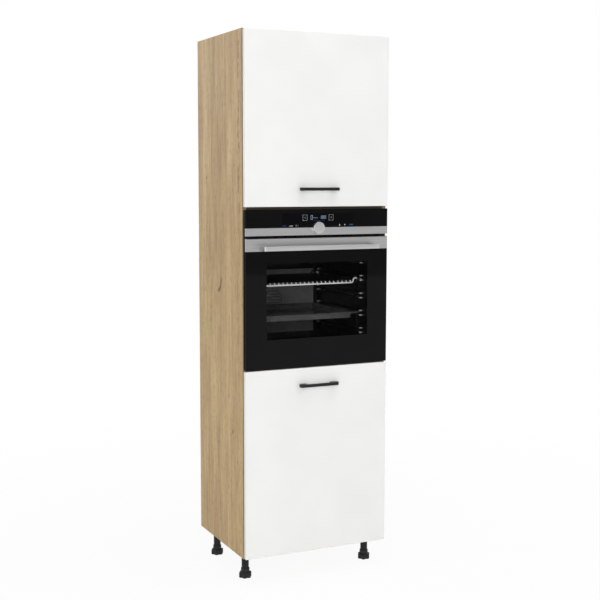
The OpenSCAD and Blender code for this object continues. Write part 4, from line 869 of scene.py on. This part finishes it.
def printMarks(v):  # the strokes gathered by their ink and width, each lot as one thin piece on the control glass
    row, display = v["row"], v["display"]
    white = barLines(v["whiteBars"], row) + [line for x, r in v["rings"] for line in ringLines(x, row, r)]
    frames = [line for x, _ in v["frames"] for line in bracketLines(x, display, v["bracket"])]
    frames += [line for x, way in v["frames"] for line in arrowLines(x, display, way, v["arrow"])]
    lit = [line for text, x, up, high in v["figures"] for line in figureLines(text, x, display + up, high, v)]
    prints = (("touchMarks", white + uprightLines(v["power"], row), whiteInk, "white"),
              ("touchDots", uprightLines(v["dots"], row), whiteInk, "dot"),
              ("arrowFrames", frames, whiteInk, "frame"),
              ("blueMarks", barLines(v["blueBars"], row) + dashLines(v["scale"], display), blueInk, "blue"),
              ("clockFigures", lit + dashLines(v["dashes"], display), litCells, "cells"))
    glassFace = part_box("control_glass")[0][1]
    for name, lines, ink, width in prints:
        skin = together(*strokes(lines, v["wide"][width], glassFace, v["thick"]))
        addPiece(name, skin, ink, "carcass")


printMarks(marks)
print("marks printed")

# the wire rack: a hooked bar at the front and rear, two side wires, and thin rods that rise over the bars
rack = {
    "bar": 3.0 * mm, "barAround": 14, "barLess": 0.1 * mm, "lift": 3.5 * mm, "side": 225.5 * mm, "sideDown": 7 * mm,
    "sideStep": 1 * mm, "hook": ((212, 0.5), (203.5, 6.5), (194.5, 3)), "turn": 190 * mm, "bend": 4.5 * mm,
    "rod": 2.2 * mm, "rodAround": 8, "rods": 10, "pitch": 18 * mm, "rise": 8 * mm, "rodBend": 4 * mm,
    "cross": 1.7 * mm, "crossAt": (1 / 3, 2 / 3), "crossSunk": 0.3 * mm, "over": 2 * mm,
}


# Bars lie in planes across y, rods and side wires in planes across x: each is a circle carried along its bent path.
def rackSkins(lo, hi, v):
    front, rear = lo[1] + v["bar"], hi[1] - v["bar"]
    barZ, sideZ = lo[2] + v["bar"] + v["lift"], hi[2] - v["sideDown"]
    skins = []
    for y in (front, rear):
        half = [(v["side"], y, sideZ)] + [(x * mm, y, sideZ + up * mm) for x, up in v["hook"]] + [(v["turn"], y, barZ)]
        path = half + [(-x, y, z) for x, _, z in half[::-1]]
        skins.append(wire(softPath(path, v["bend"]), v["bar"] - v["barLess"], (0, 1, 0), v["barAround"]))
    for x in (-v["side"], v["side"]):
        path = [(x, y, sideZ) for y in (front, front + v["sideStep"], rear - v["sideStep"], rear)]
        skins.append(wire(path, v["bar"], (1, 0, 0), v["barAround"]))
    top = barZ + v["rise"]
    for x in v["pitch"] * np.arange(-v["rods"], v["rods"] + 1):
        path = [(x, front, barZ), (x, front, top), (x, rear, top), (x, rear, barZ)]
        skins.append(wire(softPath(path, v["rodBend"]), v["rod"], (1, 0, 0), v["rodAround"]))
    reach, under = v["rods"] * v["pitch"] + v["over"], top - v["rod"] - v["cross"] + v["crossSunk"]
    for share in v["crossAt"]:
        path = [(x, front + share * (rear - front), under) for x in (-reach, -reach / 2, reach / 2, reach)]
        skins.append(wire(path, v["cross"], (0, 1, 0), v["rodAround"]))
    return together(*skins)


standIn("wireRack", "wire_rack", rackSkins, rack, wireNickel, "carcass", 50)

# the baking tray: one pressed sheet with a turned-down rim and rounded corners. Its wall passes through points so many mm
# inside the rim, and so many under the rim's top in the upper half and over the floor in the lower half.
tray = {
    "sheet": 1.2 * mm, "sideRim": 33 * mm, "frontRim": 5 * mm, "skirt": 5 * mm, "round": 2.5 * mm, "roundSteps": 4,
    "corner": 10 * mm, "floorCorner": 14 * mm, "leastCorner": 3 * mm,
    "upperWall": ((0, 0), (1, 0.5), (3, 2.6)), "lowerWall": ((3, 3.2), (8, 0.6), (14, 0)),
}


# Loops up the short skirt, over the rim and down the steep wall to the floor, and back beneath it one sheet lower.
def trayLoops(lo, hi, v):
    inward, along = quarter(v["roundSteps"], v["round"])
    s, top, low, skirt = v["sheet"], hi[2], lo[2], hi[2] - v["skirt"]
    upper, lower = np.array(v["upperWall"]) * mm, np.array(v["lowerWall"]) * mm
    wallIn = np.concatenate([upper[:, 0], lower[:, 0]])
    wallZ = np.concatenate([top - upper[:, 1], low + s + lower[:, 1]])
    insetX, insetY = (np.concatenate([[0], along, rim + wallIn, rim + wallIn[::-1] - s, [v["round"], s, s]])
                      for rim in (v["sideRim"], v["frontRim"]))
    z = np.concatenate([[skirt], top - inward, wallZ, wallZ[::-1] - s, [top - s, top - v["round"], skirt]])
    share = np.clip((top - z) / (top - low), 0, 1)
    corner = v["corner"] + (v["floorCorner"] - v["corner"]) * share - np.minimum(insetY, v["round"]) / 2
    halfX, halfY = (hi[0] - lo[0]) / 2 - insetX, (hi[1] - lo[1]) / 2 - insetY
    return carried(roundedLoops(halfX, halfY, np.maximum(corner, v["leastCorner"])), z, middle(lo, hi, 0, 1), 2)


# The upper skin from the skirt's foot to the floor, the lower skin from the floor back, and a ring that closes the foot.
def traySkin(lo, hi, v):
    loops = trayLoops(lo, hi, v)
    upper, cols = 1 + v["roundSteps"] + len(v["upperWall"]) + len(v["lowerWall"]), loops.shape[1]
    points, faces = loft(loops)
    floors = [list(range((upper - 1) * cols, upper * cols)), list(range(upper * cols, (upper + 1) * cols))]
    keep = [f for f in faces[:-2] if not (min(f) // cols == upper - 1 and max(f) // cols == upper)]
    first, last = np.arange(cols), np.arange(cols) + (len(loops) - 1) * cols
    foot = np.stack([first, np.roll(first, -1), np.roll(last, -1), last], 1).tolist()
    return points, keep + foot + floors


standIn("enamelTray", "baking_tray", traySkin, tray, trayEnamel, "carcass", 40)

# the screw feet: six soft lobes to grip, a cone, a collar and the stem
foot = {
    "around": 144, "lobes": 6, "lobe": 8 * mm, "rim": 25 * mm, "rimHigh": 19.5 * mm, "arris": 1.5 * mm, "under": 4 * mm,
    "cone": 5 * mm, "flare": 0.6 * mm, "collar": 16.6 * mm, "collarHigh": 12 * mm, "soft": 0.8 * mm, "stem": 10 * mm,
}


# Loops up the foot: the rim's radius is the larger of a disc and the lobes' own circles, drawn in at both edges; above it all
# is round.
def footSkin(lo, hi, v):
    t = np.linspace(0, 2 * math.pi, v["around"], endpoint=False)
    half, way, disc = math.pi / v["lobes"], v["rim"] - v["lobe"], v["rim"] - v["lobe"] / 2
    fold = (t + half) % (2 * half) - half
    side = np.sqrt(np.maximum(v["lobe"] ** 2 - (way * np.sin(fold)) ** 2, 0))
    lobed = np.maximum(np.where(side > 0, way * np.cos(fold) + side, 0), disc)
    inward, along = quarter(4, v["arris"])
    rimTop, collar, soft = v["rimHigh"], v["collar"], v["soft"]
    coneTop = rimTop + v["cone"]
    collarTop = coneTop + v["collarHigh"]
    above = np.array([(disc - v["arris"], rimTop), (collar + v["flare"], coneTop - soft), (collar, coneTop),
                      (collar, collarTop - soft), (collar - soft, collarTop), (v["stem"], collarTop),
                      (v["stem"], hi[2] - lo[2])])
    drawnIn = np.concatenate([[v["under"]], inward, inward[::-1]])
    r = np.concatenate([lobed - drawnIn[:, None], np.repeat(above[:, :1], len(t), 1)])
    z = lo[2] + np.concatenate([[0], along, rimTop - along[::-1], above[:, 1]])
    return loft(carried(np.stack([r * np.cos(t), r * np.sin(t)], -1), z, middle(lo, hi, 0, 1), 2))


for side in ("front_left", "front_right", "rear_left", "rear_right"):
    name = "screw" + side.title().replace("_", "") + "Foot"
    standIn(name, "foot_" + side, footSkin, foot, blackPlastic, side + "_foot", 35)

# the oven's door seal: a soft round-backed lip round the mouth
mouthLip = {"corner": 14 * mm, "wide": 5 * mm, "steps": 9}


# A half round carried round a rounded rectangle: the loops are the section's steps, joined last to first.
def sealSkin(lo, hi, v):
    t = np.linspace(0, math.pi, v["steps"])
    off, out = v["wide"] / 2 * (1 - np.cos(t)), (hi[1] - lo[1]) * np.sin(t)
    flat = roundedLoops((hi[0] - lo[0]) / 2 - off, (hi[2] - lo[2]) / 2 - off, v["corner"] - off, v["steps"])
    return loft(carried(flat, hi[1] - out, middle(lo, hi)), True)


standIn("mouthSeal", "cavity_seal", sealSkin, mouthLip, mouthSilicone, "carcass")

# the cooling duct: a flat black channel behind the outlets over the door, whose rear wall leaves a narrow slit
duct = {"halfWide": 244 * mm, "low": 1309.5 * mm, "high": 1321.5 * mm, "deep": 110 * mm, "sheet": 1.0 * mm, "rear": 5 * mm,
        "corner": 3 * mm, "leastCorner": 0.4 * mm}


# Loops from the mouth back along the inside, across the rear wall, and forward along the outside.
def ductSkin(front, v):
    s, deep, rear = v["sheet"], v["deep"], v["rear"]
    y = front + np.array([0, deep - s, deep - s, deep, deep, 0])
    inset = np.array([s, s, rear, rear, 0, 0])
    corner = np.maximum(v["corner"] - inset, v["leastCorner"])
    flat = roundedLoops(v["halfWide"] - inset, (v["high"] - v["low"]) / 2 - inset, corner, 4)
    return loft(carried(flat, y, (0, (v["low"] + v["high"]) / 2)), True)


addPiece("coolingDuct", ductSkin(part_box("oven_front_frame")[1][1], duct), stovePaint, "carcass")
print("rack, tray, feet, seal and duct made")

# a pale floor, a white surround whose front is kept dim in reflections, so that black glass stays black, and soft lamps
studio = {"floorRadius": 14.0, "floorSides": 48, "floorGrey": "#F4F4F3", "nearWhite": 0.93, "whiteFrom": 0.5, "whiteTo": 3.0,
          "ambient": 0.4, "front": 0.45, "frontFrom": -0.35, "frontTo": 0.25, "aim": (0, 0, 1.05)}
lamps = {
    "keySoftbox": {"at": (-3.3, -5.2, 2.8), "size": 2.6, "watts": 76},
    "cameraFill": {"at": (-2.2, -4.6, 1.45), "size": 2.4, "watts": 46},
    "topSoftbox": {"at": (0.4, -1.2, 5.2), "size": 2.6, "watts": 66},
    "rightSoftbox": {"at": (4.5, -2.0, 2.2), "size": 2.4, "watts": 38},
    "backSoftbox": {"at": (-1.0, 4.8, 2.8), "size": 2.6, "watts": 40},
}


# A disc that takes light and shadow as paint, mixed with a white that grows with the distance where it is seen.
def makeFloor(s):
    t = np.linspace(0, 2 * math.pi, s["floorSides"], endpoint=False)
    rim = np.stack([np.cos(t), np.sin(t), 0 * t], 1) * s["floorRadius"]
    mesh = bpy.data.meshes.new("paleFloor")
    mesh.from_pydata(rim.tolist(), [], [list(range(len(t)))])
    made, tree, place = startMaterial("paleFloor")
    paint = addNode(tree, "BsdfPrincipled", {"Base Color": linear(s["floorGrey"]), "Roughness": 0.8, "Specular IOR Level": 0.1})
    rays = addNode(tree, "LightPath")
    seen = rays.outputs["Is Camera Ray"]
    for ray in ("Is Glossy Ray", "Is Transmission Ray"):
        seen = addNode(tree, "Math", {0: seen, 1: rays.outputs[ray]}, operation="MAXIMUM")
    away = addNode(tree, "VectorMath", {0: place}, operation="LENGTH").outputs["Value"]
    fade = addNode(tree, "MapRange", {"Value": away}, ends=(s["whiteFrom"], s["whiteTo"], s["nearWhite"], 1.0))
    share = addNode(tree, "Math", {0: seen, 1: fade}, operation="MULTIPLY")
    white = addNode(tree, "Emission", {"Color": (1, 1, 1, 1), "Strength": 1.0})
    mixed = addNode(tree, "MixShader", {0: share, 1: paint, 2: white})
    addNode(tree, "OutputMaterial", {"Surface": mixed})
    mesh.materials.append(made)
    addObject("paleFloor", mesh)


# White where the camera or glass sees it, dimmer toward the front in reflections, and an even ambient light for all else.
def makeWorld(s):
    world = bpy.data.worlds.new("studio")
    bpy.context.scene.world = world
    world.use_nodes = True
    tree = world.node_tree
    tree.nodes.clear()
    rays = addNode(tree, "LightPath")
    way = addNode(tree, "SeparateXYZ", {"Vector": addNode(tree, "TexCoord").outputs["Generated"]})
    behind = addNode(tree, "MapRange", {"Value": way.outputs["Y"]}, ends=(s["frontFrom"], s["frontTo"], s["front"], 1.0))
    mirror, camera, through = (rays.outputs["Is " + ray + " Ray"] for ray in ("Glossy", "Camera", "Transmission"))
    glossy = addNode(tree, "Math", {0: mirror, 1: behind}, operation="MULTIPLY")
    direct = addNode(tree, "Math", {0: camera, 1: through}, operation="MAXIMUM")
    seen = addNode(tree, "Math", {0: direct, 1: glossy}, operation="MAXIMUM")
    isSeen = addNode(tree, "Math", {0: direct, 1: mirror}, operation="MAXIMUM")
    plain = addNode(tree, "Math", {0: 1.0, 1: isSeen}, operation="SUBTRACT")
    level = addNode(tree, "Math", {0: plain, 1: s["ambient"], 2: seen}, operation="MULTIPLY_ADD")
    back = addNode(tree, "Background", {"Color": (1, 1, 1, 1), "Strength": level})
    addNode(tree, "OutputWorld", {"Surface": back})


def makeLamp(name, v, aim):  # a square soft lamp, turned so that it shines from its place toward the aim
    data = bpy.data.lights.new(name, "AREA")
    data.shape, data.size, data.energy = "SQUARE", v["size"], v["watts"]
    lamp = addObject(name, data)
    lamp.location = v["at"]
    lamp.rotation_euler = (Vector(aim) - Vector(v["at"])).to_track_quat("-Z", "Y").to_euler()


makeFloor(studio)
makeWorld(studio)
for name, v in lamps.items():
    makeLamp(name, v, studio["aim"])
bpy.context.scene.view_settings.view_transform = "Standard"
print("studio made")
